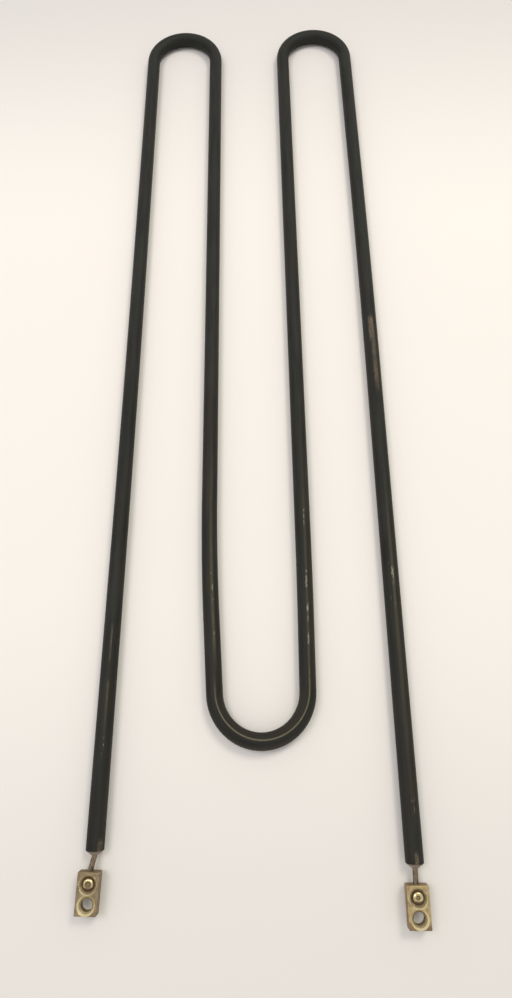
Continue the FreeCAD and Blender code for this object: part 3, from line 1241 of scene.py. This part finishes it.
RUBS_AND_HIGHLIGHTS = (
    RubAndHighlight(RodPart.NEAR_BEND, -260, 300, 0.84, 0.84, 0.72),
    RubAndHighlight(RodPart.LEFT_INNER_LEG, -190, -172, 0.8, 0.1, 0.8),
    RubAndHighlight(RodPart.LEFT_INNER_LEG, -172, -158, 0.1, 0.42, 1.3, 8.0),
    RubAndHighlight(RodPart.LEFT_INNER_LEG, -158, -110, 0.42, 0.4, 1.3, 8.0),
    RubAndHighlight(RodPart.LEFT_INNER_LEG, -110, -20, 0.4, 0.0, 1.3, 8.0),
    RubAndHighlight(RodPart.RIGHT_INNER_LEG, -190, -158, 0.7, 0.45, 0.9, 2.0),
    RubAndHighlight(RodPart.RIGHT_INNER_LEG, -158, -100, 0.34, 0.3, 1.1, 2.0),
    RubAndHighlight(RodPart.RIGHT_INNER_LEG, -100, -30, 0.3, 0.0, 1.1, 2.0),
    RubAndHighlight(RodPart.LEFT_OUTER_LEG, -210, -178, 0.1, 0.5, 0.9, 5.0),
    RubAndHighlight(RodPart.LEFT_OUTER_LEG, -178, -165, 0.14, 0.1, 1.0, 5.0),
    RubAndHighlight(RodPart.LEFT_OUTER_LEG, -165, -150, 0.45, 0.4, 0.7, 5.0),
    RubAndHighlight(RodPart.LEFT_OUTER_LEG, -150, -60, 0.1, 0.0, 1.2, 5.0),
    RubAndHighlight(RodPart.RIGHT_OUTER_LEG, -245, -140, 0.1, 0.34, 1.5, -2.0),
    RubAndHighlight(RodPart.RIGHT_OUTER_LEG, -140, -100, 0.42, 0.3, 1.2, -2.0),
    RubAndHighlight(RodPart.RIGHT_OUTER_LEG, -100, -50, 0.3, 0.0, 1.2, -2.0),
)

MARK_LIST = (
    Mark(RodPart.RIGHT_OUTER_LEG, 25, 0, 24, 66, tan=0.7),
    Mark(RodPart.RIGHT_OUTER_LEG, 6, -9, 62, 56, tan=0.55),
    Mark(RodPart.RIGHT_OUTER_LEG, -234, -14, 20, 50, pale=0.3),
    Mark(RodPart.RIGHT_OUTER_LEG, -240, 20, 6, 18, pale=0.35),
    Mark(RodPart.RIGHT_OUTER_LEG, -257, -5, 8, 42, tan=0.62),
    Mark(RodPart.RIGHT_OUTER_LEG, -257.5, -48, 6, 40, rust=0.9),
    Mark(RodPart.RIGHT_OUTER_LEG, -123, -5, 10, 34, pale=0.74),
    Mark(RodPart.RIGHT_OUTER_LEG, -119, 20, 7, 22, pale=0.5),
    Mark(RodPart.RIGHT_OUTER_LEG, -129, -8, 9, 34, tan=0.5),
    Mark(RodPart.RIGHT_OUTER_LEG, -135.3, 17, 4, 18, pale=0.5),
    Mark(RodPart.LEFT_INNER_LEG, -123, -14, 5, 15, pale=0.6),
    Mark(RodPart.LEFT_INNER_LEG, -130.5, -19, 6.5, 17, pale=0.8),
    Mark(RodPart.LEFT_INNER_LEG, -136.6, -20, 3.5, 14, pale=0.55),
    Mark(RodPart.LEFT_INNER_LEG, -154.8, -20, 4, 20, pale=0.8),
    Mark(RodPart.RIGHT_INNER_LEG, -93, 8, 16, 16, pale=0.7),
    Mark(RodPart.RIGHT_INNER_LEG, -123.5, 9, 4, 18, pale=0.6),
    Mark(RodPart.RIGHT_INNER_LEG, -128.6, 7, 9, 19, pale=0.95),
    Mark(RodPart.RIGHT_INNER_LEG, -142, 11, 6, 19, pale=0.9),
    Mark(RodPart.RIGHT_INNER_LEG, -147, 10, 6, 18, pale=0.66),
    Mark(RodPart.RIGHT_INNER_LEG, -157, 9, 7, 18, pale=0.9),
    Mark(RodPart.LEFT_OUTER_LEG, -207, 12, 14, 18, pale=0.45),
    Mark(RodPart.LEFT_OUTER_LEG, -249.3, 44, 10, 54, tan=0.5),
    Mark(RodPart.RIGHT_INNER_LEG, -130, 46, 190, 70, rust=0.55),
    Mark(RodPart.NEAR_BEND, -190, -45, 60, 70, rust=0.5),
    Mark(RodPart.NEAR_BEND, -207, 55, 14, 60, rust=0.8),
    Mark(RodPart.LEFT_INNER_LEG, -80, 5, 260, 60, rust=0.25),
    Mark(RodPart.RIGHT_OUTER_LEG, -205, -12, 90, 44, rust=0.4),
)


@dataclass
class Sheath:
    """The black tube round the whole rod, open at both ends."""

    route: RodRoute
    outer_d: float = 8.5 * MM
    wall: float = 0.7 * MM
    rim_round: float = 0.18 * MM
    rim_angles_deg: tuple[float, ...] = (0, 30, 60, 90)
    sides: int = 52
    straight_step: float = 3.5 * MM
    arc_step: float = 2.0 * MM
    bore_stride: int = 3
    fit_straight_step: float = 2.0 * MM
    fit_arc_step: float = 0.2 * MM
    # How far the worn line, a painted highlight too, leans east and north, towards the warm lamp
    highlight_east_deg: float = 7.5
    highlight_north_deg: float = 12.0
    shift: Vector = field(default_factory=Vector)

    def set_into(self, node: str) -> None:
        """Finds the move from the route's own coordinates to the model's frame.

        Args:
            node: The model's sheath, whose box the tube has to meet.
        """
        reach = self.outer_d / 2
        found = stations(self.route.spans(), self.fit_straight_step, self.fit_arc_step, Vector())
        edges = [s.place + s.rightward * side for s in found for side in (-reach, reach)]
        low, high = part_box(node)
        for axis in (0, 1):
            values = [edge[axis] for edge in edges]
            self.shift[axis] = (low[axis] + high[axis] - min(values) - max(values)) / 2

    def _line_and_marks_at(self, station: Station) -> Callable[[float, float], PointValues]:
        """The worn line with its painted highlight, and the marks, round one ring.

        Args:
            station: Where the ring is.

        Returns:
            What gives a point's values.
        """
        rub_and_highlight = next((r for r in RUBS_AND_HIGHLIGHTS if r.holds(station)), None)
        right = station.rightward
        # The line leans towards the warm lamp at the far right, where its painted highlight falls
        tilt = self.highlight_east_deg * right.x + self.highlight_north_deg * right.y
        tilt += (rub_and_highlight.tilt_deg if rub_and_highlight else 0.0) * right.x
        middle = math.sin(math.radians(tilt)) * self.outer_d / 2
        strength = rub_and_highlight.strength(station) if rub_and_highlight else 0.0
        breadth = rub_and_highlight.breadth if rub_and_highlight else 1.0
        here = [mark for mark in MARK_LIST if mark.part is station.part]

        def values(across: float, rise: float) -> PointValues:
            """One point's values.

            Args:
                across: Its offset to the right.
                rise: Its height above the line.

            Returns:
                Its worn line with its painted highlight, and its marks, by name.
            """
            angle = math.atan2(across, rise)
            found = [(mark, mark.share(station, angle)) for mark in here]
            tan = max((mark.tan * share for mark, share in found), default=0.0)
            pale = max((mark.pale * share for mark, share in found), default=0.0)
            rust = max((mark.rust * share for mark, share in found), default=0.0)
            level = strength if rise > 0 else 0.0
            return {RUB_AND_HIGHLIGHT: (across - middle, level, breadth), MARKS: (tan, pale, rust)}

        return values

    def build(self, material: bpy.types.Material) -> bpy.types.Object:
        """Makes the tube: its outside, its two rounded rims and its bore.

        Args:
            material: Its finish.

        Returns:
            The piece.
        """
        skin = Skin(RUB_AND_HIGHLIGHT, MARKS)
        line = stations(self.route.spans(), self.straight_step, self.arc_step, self.shift)
        radius, bore, height = self.outer_d / 2, self.outer_d / 2 - self.wall, self.outer_d / 2
        quarter = [math.radians(angle) for angle in self.rim_angles_deg]
        rim = [(self.rim_round * (1 - math.sin(angle)), radius - self.rim_round * (1 - math.cos(angle)))
               for angle in quarter]
        outer = [(line[0].moved(setback), at_radius) for setback, at_radius in reversed(rim)]
        outer += [(station, radius) for station in line[1:-1]]
        outer += [(line[-1].moved(-setback), at_radius) for setback, at_radius in rim]
        inner = [(station, bore) for station in line[-1:] + line[-2:0:-self.bore_stride] + line[:1]]
        rings = [swept_ring(skin, station, at_radius, self.sides, height, self._line_and_marks_at(station))
                 for station, at_radius in outer + inner]
        for before, after in zip(rings, rings[1:] + rings[:1]):
            skin.bridge(before, after)
        return skin.piece("sheath_tube", material)


# The terminals


def turned(name: str, material: bpy.types.Material, profile: Corners, sides: int, matrix: Matrix,
           stray: Callable[[float, float, float], float] | None = None) -> bpy.types.Object:
    """A turned solid as an object of the scene.

    Args:
        name: The object's name.
        material: Its finish.
        profile: Radius and height of each corner of the half section.
        sides: How many points a ring has.
        matrix: Where the solid goes.
        stray: Gives what is added to the radius at a radius, an angle and a height.

    Returns:
        The object.
    """
    skin = Skin()
    lathe(skin, profile, sides, matrix, stray)
    return skin.piece(name, material)


@dataclass(frozen=True)
class BlockSizes:
    """A terminal block, drawn with its pin end at y = 0 and its length along -Y."""

    width: float = 10.0 * MM
    length: float = 17.4 * MM
    thickness: float = 5.5 * MM
    edge_round: float = 0.28 * MM
    floor: float = 0.7 * MM
    hole_r: float = 2.65 * MM
    hole_sides: int = 72
    clamp_hole_from_end: float = 5.0 * MM
    hole_pitch: float = 8.2 * MM
    sink_r: float = 4.15 * MM
    sink_lip: float = 0.04 * MM
    sink_flare: float = 0.12 * MM
    back_chamfer: float = 0.5 * MM
    thread_pitch: float = 0.8 * MM
    thread_depth: float = 0.3 * MM
    thread_setback: float = 0.1 * MM
    thread_fade: float = 0.4 * MM
    thread_rows: int = 40
    pin_hole_r: float = 1.3 * MM
    pin_hole_sides: int = 48
    pin_past_hole: float = 0.8 * MM
    stake_r: float = 0.65 * MM
    stake_foot_share: float = 0.45
    stake_depth: float = 0.7 * MM
    stake_inset: float = 0.05 * MM
    stake_stretch: float = 1.5
    stake_sides: int = 20
    nick_deg: float = 93.0
    nick_share: float = 0.6
    nick_inset: float = 0.3 * MM

    @property
    def sink_start(self) -> float:
        """The height at which the countersinks start."""
        return self.thickness - (self.sink_r - self.hole_r)

    @property
    def pin_depth(self) -> float:
        """How deep the pin goes into the block."""
        return self.clamp_hole_from_end + self.hole_r + self.pin_past_hole

    def hole_y(self, index: int) -> float:
        """A hole's place along the block: 0 is the clamp hole, 1 the lead screw's."""
        return -self.clamp_hole_from_end - index * self.hole_pitch


@dataclass(frozen=True)
class ScrewSizes:
    """A clamp screw, drawn about its own axis at the block's heights."""

    radius: float = 2.62 * MM
    base: float = 3.2 * MM
    dome_start: float = 4.2 * MM
    dome_in: float = 0.4 * MM
    dome_drop: float = 0.22 * MM
    top: float = 5.1 * MM
    crown_r: float = 1.45 * MM
    dimple_r: float = 1.0 * MM
    dimple_lip: float = 0.1 * MM
    dimple_depth: float = 0.6 * MM
    dimple_floor_r: float = 0.55 * MM
    pip_r: float = 0.3 * MM
    pip_height: float = 0.14 * MM
    hammering: float = 0.05 * MM
    sides: int = 72


@dataclass(frozen=True)
class SealSizes:
    """An end seal, drawn about the pin with the sheath's end at height 0."""

    proud: float = 1.9 * MM
    depth: float = 5.0 * MM
    bore_r: float = 3.55 * MM
    past_bore: float = 0.4 * MM
    past_pin: float = 0.35 * MM
    foot: float = 0.2 * MM
    shoulder_in: float = 0.7 * MM
    shoulder_height: float = 0.8 * MM
    lump_height: float = 0.14 * MM
    lump_sink: float = 0.05 * MM
    lump_reach: float = 1.6
    sides: int = 64


@dataclass
class Terminal:
    """One cold end: pin, seal, block and clamp screw."""

    side: Side
    rod_end: Vector
    outward: Vector
    block_turn_deg: float
    stakes_deg: tuple[float, ...]
    block: BlockSizes = field(default_factory=BlockSizes)
    screw: ScrewSizes = field(default_factory=ScrewSizes)
    seal: SealSizes = field(default_factory=SealSizes)
    axis_z: float = 4.25 * MM
    pin_r: float = 1.25 * MM
    pin_inside: float = 42.0 * MM
    pin_bend_r: float = 5.0 * MM
    pin_straight: float = 0.6 * MM
    pin_straight_step: float = 1.0 * MM
    pin_arc_step: float = 0.3 * MM
    pin_sides: int = 32
    cut_spare: float = 0.5 * MM
    pin_cut_spare: float = 1.0 * MM

    def node(self, piece: str) -> str:
        """A CAD node's name on this side."""
        return f"{piece}_{self.side.value}"

    @property
    def block_matrix(self) -> Matrix:
        """The move from the block's own coordinates to the frame.

        Returns:
            The matrix.
        """
        low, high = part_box(self.node("terminal_block"))
        middle = (low + high) / 2
        place = Matrix.Translation((middle.x, middle.y, low.z))
        turn = Matrix.Rotation(math.radians(self.block_turn_deg), 4, "Z")
        return place @ turn @ Matrix.Translation((0.0, self.block.length / 2, 0.0))

    def build_pin(self, material: bpy.types.Material) -> bpy.types.Object:
        """Makes the cold pin, from inside the rod to past the clamp hole.

        Args:
            material: Its finish.

        Returns:
            The piece.
        """
        matrix = self.block_matrix
        way = (matrix.to_3x3() @ Vector((0.0, -1.0, 0.0))).normalized()
        start = matrix @ Vector((0.0, 0.0, 0.0))
        start.z = 0.0
        points = [self.rod_end - self.outward * self.pin_inside,
                  self.rod_end + self.outward * (self.seal.proud + self.pin_straight),
                  start - way * self.pin_straight, start + way * self.block.pin_depth]
        line = stations(rounded_run(points, radius=self.pin_bend_r), self.pin_straight_step,
                        self.pin_arc_step, Vector())
        skin = Skin()
        rings = [swept_ring(skin, station, self.pin_r, self.pin_sides, self.axis_z) for station in line]
        for before, after in zip(rings, rings[1:]):
            skin.bridge(before, after)
        for ring, station in ((rings[0], line[0]), (rings[-1], line[-1])):
            centre = station.place + UP * self.axis_z
            skin.cap(ring, skin.point(centre, Vector((station.distance, 0.0, 0.0))))
        return skin.piece(f"cold_pin_{self.side.value}", material)

    def build_seal(self, material: bpy.types.Material) -> bpy.types.Object:
        """Makes the cast bead: a plug in the bore and a lumpy blunt cone over the rim.

        Args:
            material: Its finish.

        Returns:
            The piece.
        """
        sizes = self.seal
        rim_r, neck_r = sizes.bore_r + sizes.past_bore, self.pin_r + sizes.past_pin
        profile = rounded([(self.pin_r, -sizes.depth), (sizes.bore_r, -sizes.depth), (sizes.bore_r, 0.0),
                           (rim_r, 0.0), (rim_r, sizes.foot),
                           (rim_r - sizes.shoulder_in, sizes.shoulder_height),
                           (neck_r, sizes.proud), (self.pin_r, sizes.proud)],
                          [0, 0, 0, 0, 0.15 * MM, 0.5 * MM, 0.3 * MM, 0])
        seed = 3.0 if self.side is Side.LEFT else 11.0

        def lump(radius: float, angle: float, height: float) -> float:
            """The uneven surface where the bead was poured.

            Args:
                radius: How far from the axis a point is.
                angle: Its angle round it.
                height: Its height above the sheath's end.

            Returns:
                What is added to the radius.
            """
            if height <= 0 or radius < neck_r - sizes.lump_sink:
                return 0.0
            spot = Vector((math.cos(angle) * sizes.lump_reach, math.sin(angle) * sizes.lump_reach,
                           height / MM + seed))
            return noise.noise(spot) * sizes.lump_height - sizes.lump_sink

        across = Vector((self.outward.y, -self.outward.x, 0.0))
        turn = Matrix((across, UP, self.outward)).transposed().to_4x4()
        matrix = Matrix.Translation(self.rod_end + UP * self.axis_z) @ turn
        return turned(f"seal_bead_{self.side.value}", material, profile, sizes.sides, matrix, lump)

    def build_screw(self, material: bpy.types.Material) -> bpy.types.Object:
        """Makes the clamp screw: a plug with a dome and a dimple that has a small pip in it.

        Args:
            material: Its finish.

        Returns:
            The piece.
        """
        sizes = self.screw
        bottom = sizes.top - sizes.dimple_depth
        profile = rounded([(0.0, sizes.base), (sizes.radius, sizes.base), (sizes.radius, sizes.dome_start),
                           (sizes.radius - sizes.dome_in, sizes.top - sizes.dome_drop),
                           (sizes.crown_r, sizes.top), (sizes.dimple_r, sizes.top - sizes.dimple_lip),
                           (sizes.dimple_floor_r, bottom), (sizes.pip_r, bottom),
                           (0.0, bottom + sizes.pip_height)],
                          [0, 0, 0.15 * MM, 0.45 * MM, 0.3 * MM, 0.2 * MM, 0.2 * MM, 0.1 * MM, 0], 5)

        def dent(radius: float, angle: float, height: float) -> float:
            """The slight hammering of the dome.

            Args:
                radius: How far from the axis a point is.
                angle: Its angle round it.
                height: Its height in the block.

            Returns:
                What is added to the radius.
            """
            if height < sizes.dome_start:
                return 0.0
            spot = Vector((math.cos(angle), math.sin(angle), radius / MM)) * 1.3
            return noise.noise(spot) * sizes.hammering

        matrix = self.block_matrix @ Matrix.Translation((0.0, self.block.hole_y(0), 0.0))
        return turned(f"clamp_screw_head_{self.side.value}", material, profile, sizes.sides, matrix, dent)

    def _hole_cutter(self, index: int, material: bpy.types.Material) -> bpy.types.Object:
        """The solid that one hole takes out of the block, with the lead hole's thread.

        Args:
            index: 0 for the clamp hole, 1 for the lead screw's.
            material: The block's finish.

        Returns:
            The solid.
        """
        sizes = self.block
        threaded = index == 1
        low = sizes.back_chamfer + sizes.thread_setback
        high = sizes.sink_start - sizes.thread_setback
        rows = sizes.thread_rows if threaded else 1
        wall = [(sizes.hole_r, low + (high - low) * row / rows) for row in range(rows + 1)]
        spare, flare, top = self.cut_spare, sizes.sink_flare, sizes.thickness
        profile = [(0.0, -spare), (sizes.hole_r + sizes.back_chamfer + spare, -spare),
                   (sizes.hole_r, sizes.back_chamfer), *wall, (sizes.hole_r, sizes.sink_start),
                   (sizes.sink_r - flare, top - flare), (sizes.sink_r, top - sizes.sink_lip),
                   (sizes.sink_r + flare, top), (sizes.sink_r + 2 * flare + spare, top + spare),
                   (0.0, top + spare)]

        def thread(radius: float, angle: float, height: float) -> float:
            """The groove on a right-hand helix, fading out at both ends of the hole.

            Args:
                radius: How far from the axis a point is.
                angle: Its angle round it.
                height: Its height in the block.

            Returns:
                The groove's depth.
            """
            if not threaded or not low <= height <= high or radius > sizes.hole_r:
                return 0.0
            turn = (height / sizes.thread_pitch - angle / (2 * math.pi)) % 1.0
            fade = smooth_step(low, low + sizes.thread_fade, height)
            fade *= smooth_step(high, high - sizes.thread_fade, height)
            return sizes.thread_depth * (1 - abs(2 * turn - 1)) * fade

        matrix = Matrix.Translation((0.0, sizes.hole_y(index), 0.0))
        return turned("cutter", material, profile, sizes.hole_sides, matrix, thread)

    def _dent_cutter(self, angle_deg: float, share: float, inset: float,
                     material: bpy.types.Material) -> bpy.types.Object:
        """The solid that a stake mark or a nick takes out of the clamp hole's rim.

        Args:
            angle_deg: Where on the rim it is.
            share: Its size as a share of a stake mark's.
            inset: How far inside the rim its middle is.
            material: The block's finish.

        Returns:
            The solid.
        """
        sizes = self.block
        angle, depth = math.radians(angle_deg), sizes.stake_depth
        spot = Vector((math.cos(angle), math.sin(angle), 0.0)) * (sizes.sink_r - inset)
        spot += Vector((0.0, sizes.hole_y(0), sizes.thickness - depth * share))
        profile = [(0.0, 0.0), (sizes.stake_r * sizes.stake_foot_share * share, 0.0),
                   (sizes.stake_r * share, depth), (sizes.stake_r * share, 2 * depth), (0.0, 2 * depth)]
        stretch = Matrix.Scale(sizes.stake_stretch, 4, (0, 1, 0))
        matrix = Matrix.Translation(spot) @ Matrix.Rotation(angle, 4, "Z") @ stretch
        return turned("cutter", material, profile, sizes.stake_sides, matrix)

    def _cutters(self, material: bpy.types.Material) -> Iterator[bpy.types.Object]:
        """Every solid that is taken out of the block.

        Args:
            material: The block's finish.

        Returns:
            The solids one by one: both holes, the pin's hole, the stake marks and the nick.
        """
        sizes = self.block
        for index in range(2):
            yield self._hole_cutter(index, material)
        along = Matrix.Translation((0.0, 0.0, sizes.floor + self.pin_r))
        along @= Matrix.Rotation(math.radians(90), 4, "X")
        profile = [(0.0, -self.pin_cut_spare), (sizes.pin_hole_r, -self.pin_cut_spare),
                   (sizes.pin_hole_r, sizes.pin_depth), (0.0, sizes.pin_depth)]
        yield turned("cutter", material, profile, sizes.pin_hole_sides, along)
        for angle_deg in self.stakes_deg:
            yield self._dent_cutter(angle_deg, 1.0, sizes.stake_inset, material)
        yield self._dent_cutter(sizes.nick_deg, sizes.nick_share, sizes.nick_inset, material)

    def _bar(self, material: bpy.types.Material) -> bpy.types.Object:
        """The block before its holes are cut: a bar with rounded edges.

        Args:
            material: Its finish.

        Returns:
            The bar.
        """
        sizes = self.block
        body = bmesh.new()
        bmesh.ops.create_cube(body, size=1.0)
        bmesh.ops.scale(body, vec=(sizes.width, sizes.length, sizes.thickness), verts=body.verts)
        bmesh.ops.translate(body, vec=(0.0, -sizes.length / 2, sizes.thickness / 2), verts=body.verts)
        bmesh.ops.bevel(body, geom=body.edges[:], offset=sizes.edge_round, segments=3, profile=0.5,
                        affect="EDGES")
        mesh = bpy.data.meshes.new("block_body")
        body.to_mesh(mesh)
        body.free()
        return smooth_piece("bar", mesh, material)

    def build_block(self, material: bpy.types.Material) -> bpy.types.Object:
        """Makes the block: the bar less its holes and stake marks.

        Args:
            material: Its finish.

        Returns:
            The piece.
        """
        bar = self._bar(material)
        cutters = list(self._cutters(material))
        for cutter in cutters:
            cut = bar.modifiers.new("cut", "BOOLEAN")
            cut.operation = "DIFFERENCE"
            cut.solver = "EXACT"
            cut.object = cutter
        weighted = bar.modifiers.new("flat_faces", "WEIGHTED_NORMAL")
        weighted.keep_sharp = True
        weighted.weight = 100
        graph = bpy.context.evaluated_depsgraph_get()
        mesh = bpy.data.meshes.new_from_object(bar.evaluated_get(graph))
        for spent in (bar, *cutters):
            bpy.data.objects.remove(spent)
        if LOCAL in mesh.attributes:
            mesh.attributes.remove(mesh.attributes[LOCAL])
        places = [component for vert in mesh.vertices for component in vert.co]
        layer = mesh.attributes.new(LOCAL, "FLOAT_VECTOR", "POINT")
        layer.data.foreach_set("vector", places)
        mesh.transform(self.block_matrix)
        mesh.materials.clear()
        mesh.materials.append(material)
        for face in mesh.polygons:
            face.material_index = 0
        return in_scene(f"brass_block_{self.side.value}", mesh)


# The studio


@dataclass(frozen=True)
class PhotoCamera:
    """A hand-held camera over the terminals' end, looking down and away along the legs."""

    x: float = 5.27 * MM
    y: float = -191.79 * MM
    height: float = 323.97 * MM
    heading_deg: float = 1.204
    pitch_deg: float = 71.29
    roll_deg: float = -2.03
    focal_px: float = 611.26
    picture_px: float = 998.0
    sensor: float = 36.0
    nearest: float = 0.01
    farthest: float = 20.0

    def build(self, shift: Vector) -> None:
        """Makes the camera and sets it as the scene's.

        Args:
            shift: The move from the route's own coordinates to the frame.
        """
        heading, pitch, roll = (math.radians(a) for a in (self.heading_deg, self.pitch_deg, self.roll_deg))
        level = Vector((-math.sin(heading), math.cos(heading), 0.0))
        forward = level * math.cos(pitch) - UP * math.sin(pitch)
        right = Vector((math.cos(heading), math.sin(heading), 0.0))
        above = right.cross(forward)
        rightward = right * math.cos(roll) + above * math.sin(roll)
        upward = above * math.cos(roll) - right * math.sin(roll)
        data = bpy.data.cameras.new("camera")
        data.sensor_width = self.sensor
        data.lens = self.focal_px / self.picture_px * self.sensor
        data.clip_start, data.clip_end = self.nearest, self.farthest
        camera = in_scene("camera", data)
        turn = Matrix((rightward, upward, -forward)).transposed().to_4x4()
        camera.matrix_world = Matrix.Translation(Vector((self.x, self.y, self.height)) + shift) @ turn
        bpy.context.scene.camera = camera


@dataclass(frozen=True)
class SoftBox:
    """A square lamp that points at the middle of the part."""

    name: str
    place: tuple[float, float, float]
    size: float
    power: float
    colour: tuple[float, float, float]

    def build(self) -> None:
        """Makes the lamp."""
        data = bpy.data.lights.new(self.name, "AREA")
        data.shape = "SQUARE"
        data.size = self.size
        data.energy = self.power
        data.color = self.colour
        lamp = in_scene(self.name, data)
        lamp.location = self.place
        lamp.rotation_euler = (-Vector(self.place)).to_track_quat("-Z", "Y").to_euler()


@dataclass(frozen=True)
class Studio:
    """A pale paper floor with painted shade towards both ends, soft light all round, a warm lamp at the far
    right and a cool one at the left.
    """

    paper: Colour = tone(250, 244, 236)
    # Painted shade on the paper towards its far and near ends
    paper_far_shade: Colour = tone(221, 217, 213)
    paper_near_shade: Colour = tone(236, 232, 225)
    far_shade_fade: tuple[float, float] = (0.1, 0.38)
    near_shade_fade: tuple[float, float] = (-0.12, -0.3)
    fibre_scale: float = 60.0
    specular: float = 0.2
    reach: float = 6.0
    floor_sides: int = 96
    floor_drop: float = 0.05 * MM
    world: Colour = (1.0, 0.995, 0.985, 1.0)
    world_strength: float = 0.6
    lamps: tuple[SoftBox, ...] = (
        SoftBox("window", (0.62, 0.68, 1.35), 0.5, 7.5, (1.0, 0.97, 0.84)),
        SoftBox("sky", (-0.6, 0.15, 1.4), 0.6, 5.9, (0.95, 0.92, 1.0)),
    )

    def build_floor(self) -> bpy.types.Object:
        """Makes the paper, with painted shade a little darker towards both ends.

        Returns:
            The floor.
        """
        material, sheet, shader = new_finish("pale paper")
        place = sheet.node("ShaderNodeTexCoord").outputs["Object"]
        _, y, _ = sheet.parts(place)
        colour = sheet.mix(sheet.soft(y, *self.far_shade_fade), self.paper, self.paper_far_shade)
        colour = sheet.mix(sheet.soft(y, *self.near_shade_fade), colour, self.paper_near_shade)
        sheet.feed(shader.inputs["Base Color"], colour)
        fibre = sheet.noise(place, self.fibre_scale, 6.0)
        sheet.feed(shader.inputs["Roughness"], sheet.between(fibre, 0.8, 0.95))
        shader.inputs["Specular IOR Level"].default_value = self.specular
        turns = [2 * math.pi * step / self.floor_sides for step in range(self.floor_sides)]
        rim = [(self.reach * math.cos(turn), self.reach * math.sin(turn), 0.0) for turn in turns]
        mesh = bpy.data.meshes.new("floor")
        mesh.from_pydata(rim, [], [tuple(range(self.floor_sides))])
        mesh.materials.append(material)
        floor = in_scene("floor", mesh)
        floor.location.z = -self.floor_drop
        return floor

    def build_world(self) -> None:
        """Makes even light from all round."""
        world = bpy.data.worlds.new("soft light")
        world.use_nodes = True
        bpy.context.scene.world = world
        background = world.node_tree.nodes["Background"]
        background.inputs["Color"].default_value = self.world
        background.inputs["Strength"].default_value = self.world_strength

    def build(self) -> None:
        """Makes the whole studio."""
        self.build_floor()
        self.build_world()
        for lamp in self.lamps:
            lamp.build()
        bpy.context.scene.view_settings.view_transform = "Standard"


# The whole element


@dataclass
class HeatingElement:
    """The rod, what is sealed in it, and both terminals."""

    effects: Effects
    route: RodRoute = field(default_factory=RodRoute)

    def _keep(self, piece: bpy.types.Object, node: str, slot: Slot) -> None:
        """Rides a piece on the body, in its node's place.

        Args:
            piece: The piece.
            node: The model's node that it replaces.
            slot: Its material slot, not used.
        """
        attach(piece, BODY)
        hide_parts(node)
        log.info("%s: %d faces, for %s", piece.name, len(piece.data.polygons), node)

    def build_rod(self) -> Sheath:
        """Makes the sheath.

        Returns:
            The sheath, for its shift.
        """
        sheath = Sheath(self.route)
        sheath.set_into("sheath")
        self._keep(sheath.build(SheathFinish().build(self.effects)), "sheath", Slot.SHEATH)
        return sheath

    def dress_inside(self, nodes: dict[str, bpy.types.Object]) -> None:
        """Gives the solids inside the rod their finishes.

        Args:
            nodes: The model's solids by name.
        """
        finishes = {
            "heating_coil": InnerFinish("resistance wire", tone(176, 170, 162), tone(120, 112, 104),
                                        metallic=1.0, roughness=0.4, grain=0.4 * MM),
            "magnesia_core": InnerFinish("packed magnesia", tone(238, 234, 224), tone(206, 200, 188),
                                         metallic=0.0, roughness=0.85, grain=0.3 * MM),
        }
        for name, finish in finishes.items():
            solid = nodes[name]
            solid.data.materials.clear()
            solid.data.materials.append(finish.build(self.effects))
            log.info("%s: %d faces, the model's own solid", name, len(solid.data.polygons))

    def build_terminals(self, shift: Vector) -> None:
        """Makes both terminals, piece by piece.

        Args:
            shift: The move from the route's own coordinates to the frame.
        """
        route = self.route
        ends = (
            (Side.LEFT, route.left_end, route.left_outer_knee, -1.8, (45.0, 200.0)),
            (Side.RIGHT, route.right_end, route.right_outer_knee, -0.5, (40.0, 226.0)),
        )
        brass = {
            Side.LEFT: BrassFinish("brown brass", tone(168, 151, 124), tone(160, 140, 106),
                                   tone(136, 120, 98), stain_cover=0.45, end_stain=0.0, lead_bright=0.3),
            Side.RIGHT: BrassFinish("golden brass", tone(212, 194, 148), tone(196, 172, 124),
                                    tone(134, 112, 90), stain_cover=0.3, end_stain=0.8, lead_bright=0.1),
        }
        screws = {
            Side.LEFT: ScrewFinish("browned screw brass", 1.55 * MM),
            Side.RIGHT: ScrewFinish("golden screw brass", 1.0 * MM),
        }
        slots = {Side.LEFT: Slot.BRASS_LEFT, Side.RIGHT: Slot.BRASS_RIGHT}
        pin, seal = PinFinish().build(self.effects), SealFinish().build(self.effects)
        for side, end, knee, turn, stakes in ends:
            terminal = Terminal(side, end + shift, (end - knee).normalized(), turn, stakes)
            block = brass[side].build(self.effects, terminal.block)
            screw = screws[side].build(self.effects, terminal.screw)
            self._keep(terminal.build_pin(pin), terminal.node("terminal_pin"), Slot.PIN)
            self._keep(terminal.build_seal(seal), terminal.node("end_seal"), Slot.SEAL)
            self._keep(terminal.build_block(block), terminal.node("terminal_block"), slots[side])
            self._keep(terminal.build_screw(screw), terminal.node("clamp_screw"), Slot.SCREW)


def main() -> None:
    """Builds the element, its studio and the camera."""
    logging.basicConfig(level=logging.INFO, format="%(name)s: %(message)s")
    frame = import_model()
    element = HeatingElement(Effects())
    sheath = element.build_rod()
    element.dress_inside(frame["nodes"])
    element.build_terminals(sheath.shift)
    Studio().build()
    PhotoCamera().build(sheath.shift)
    bpy.context.view_layer.update()


if __name__ == "__main__":
    main()
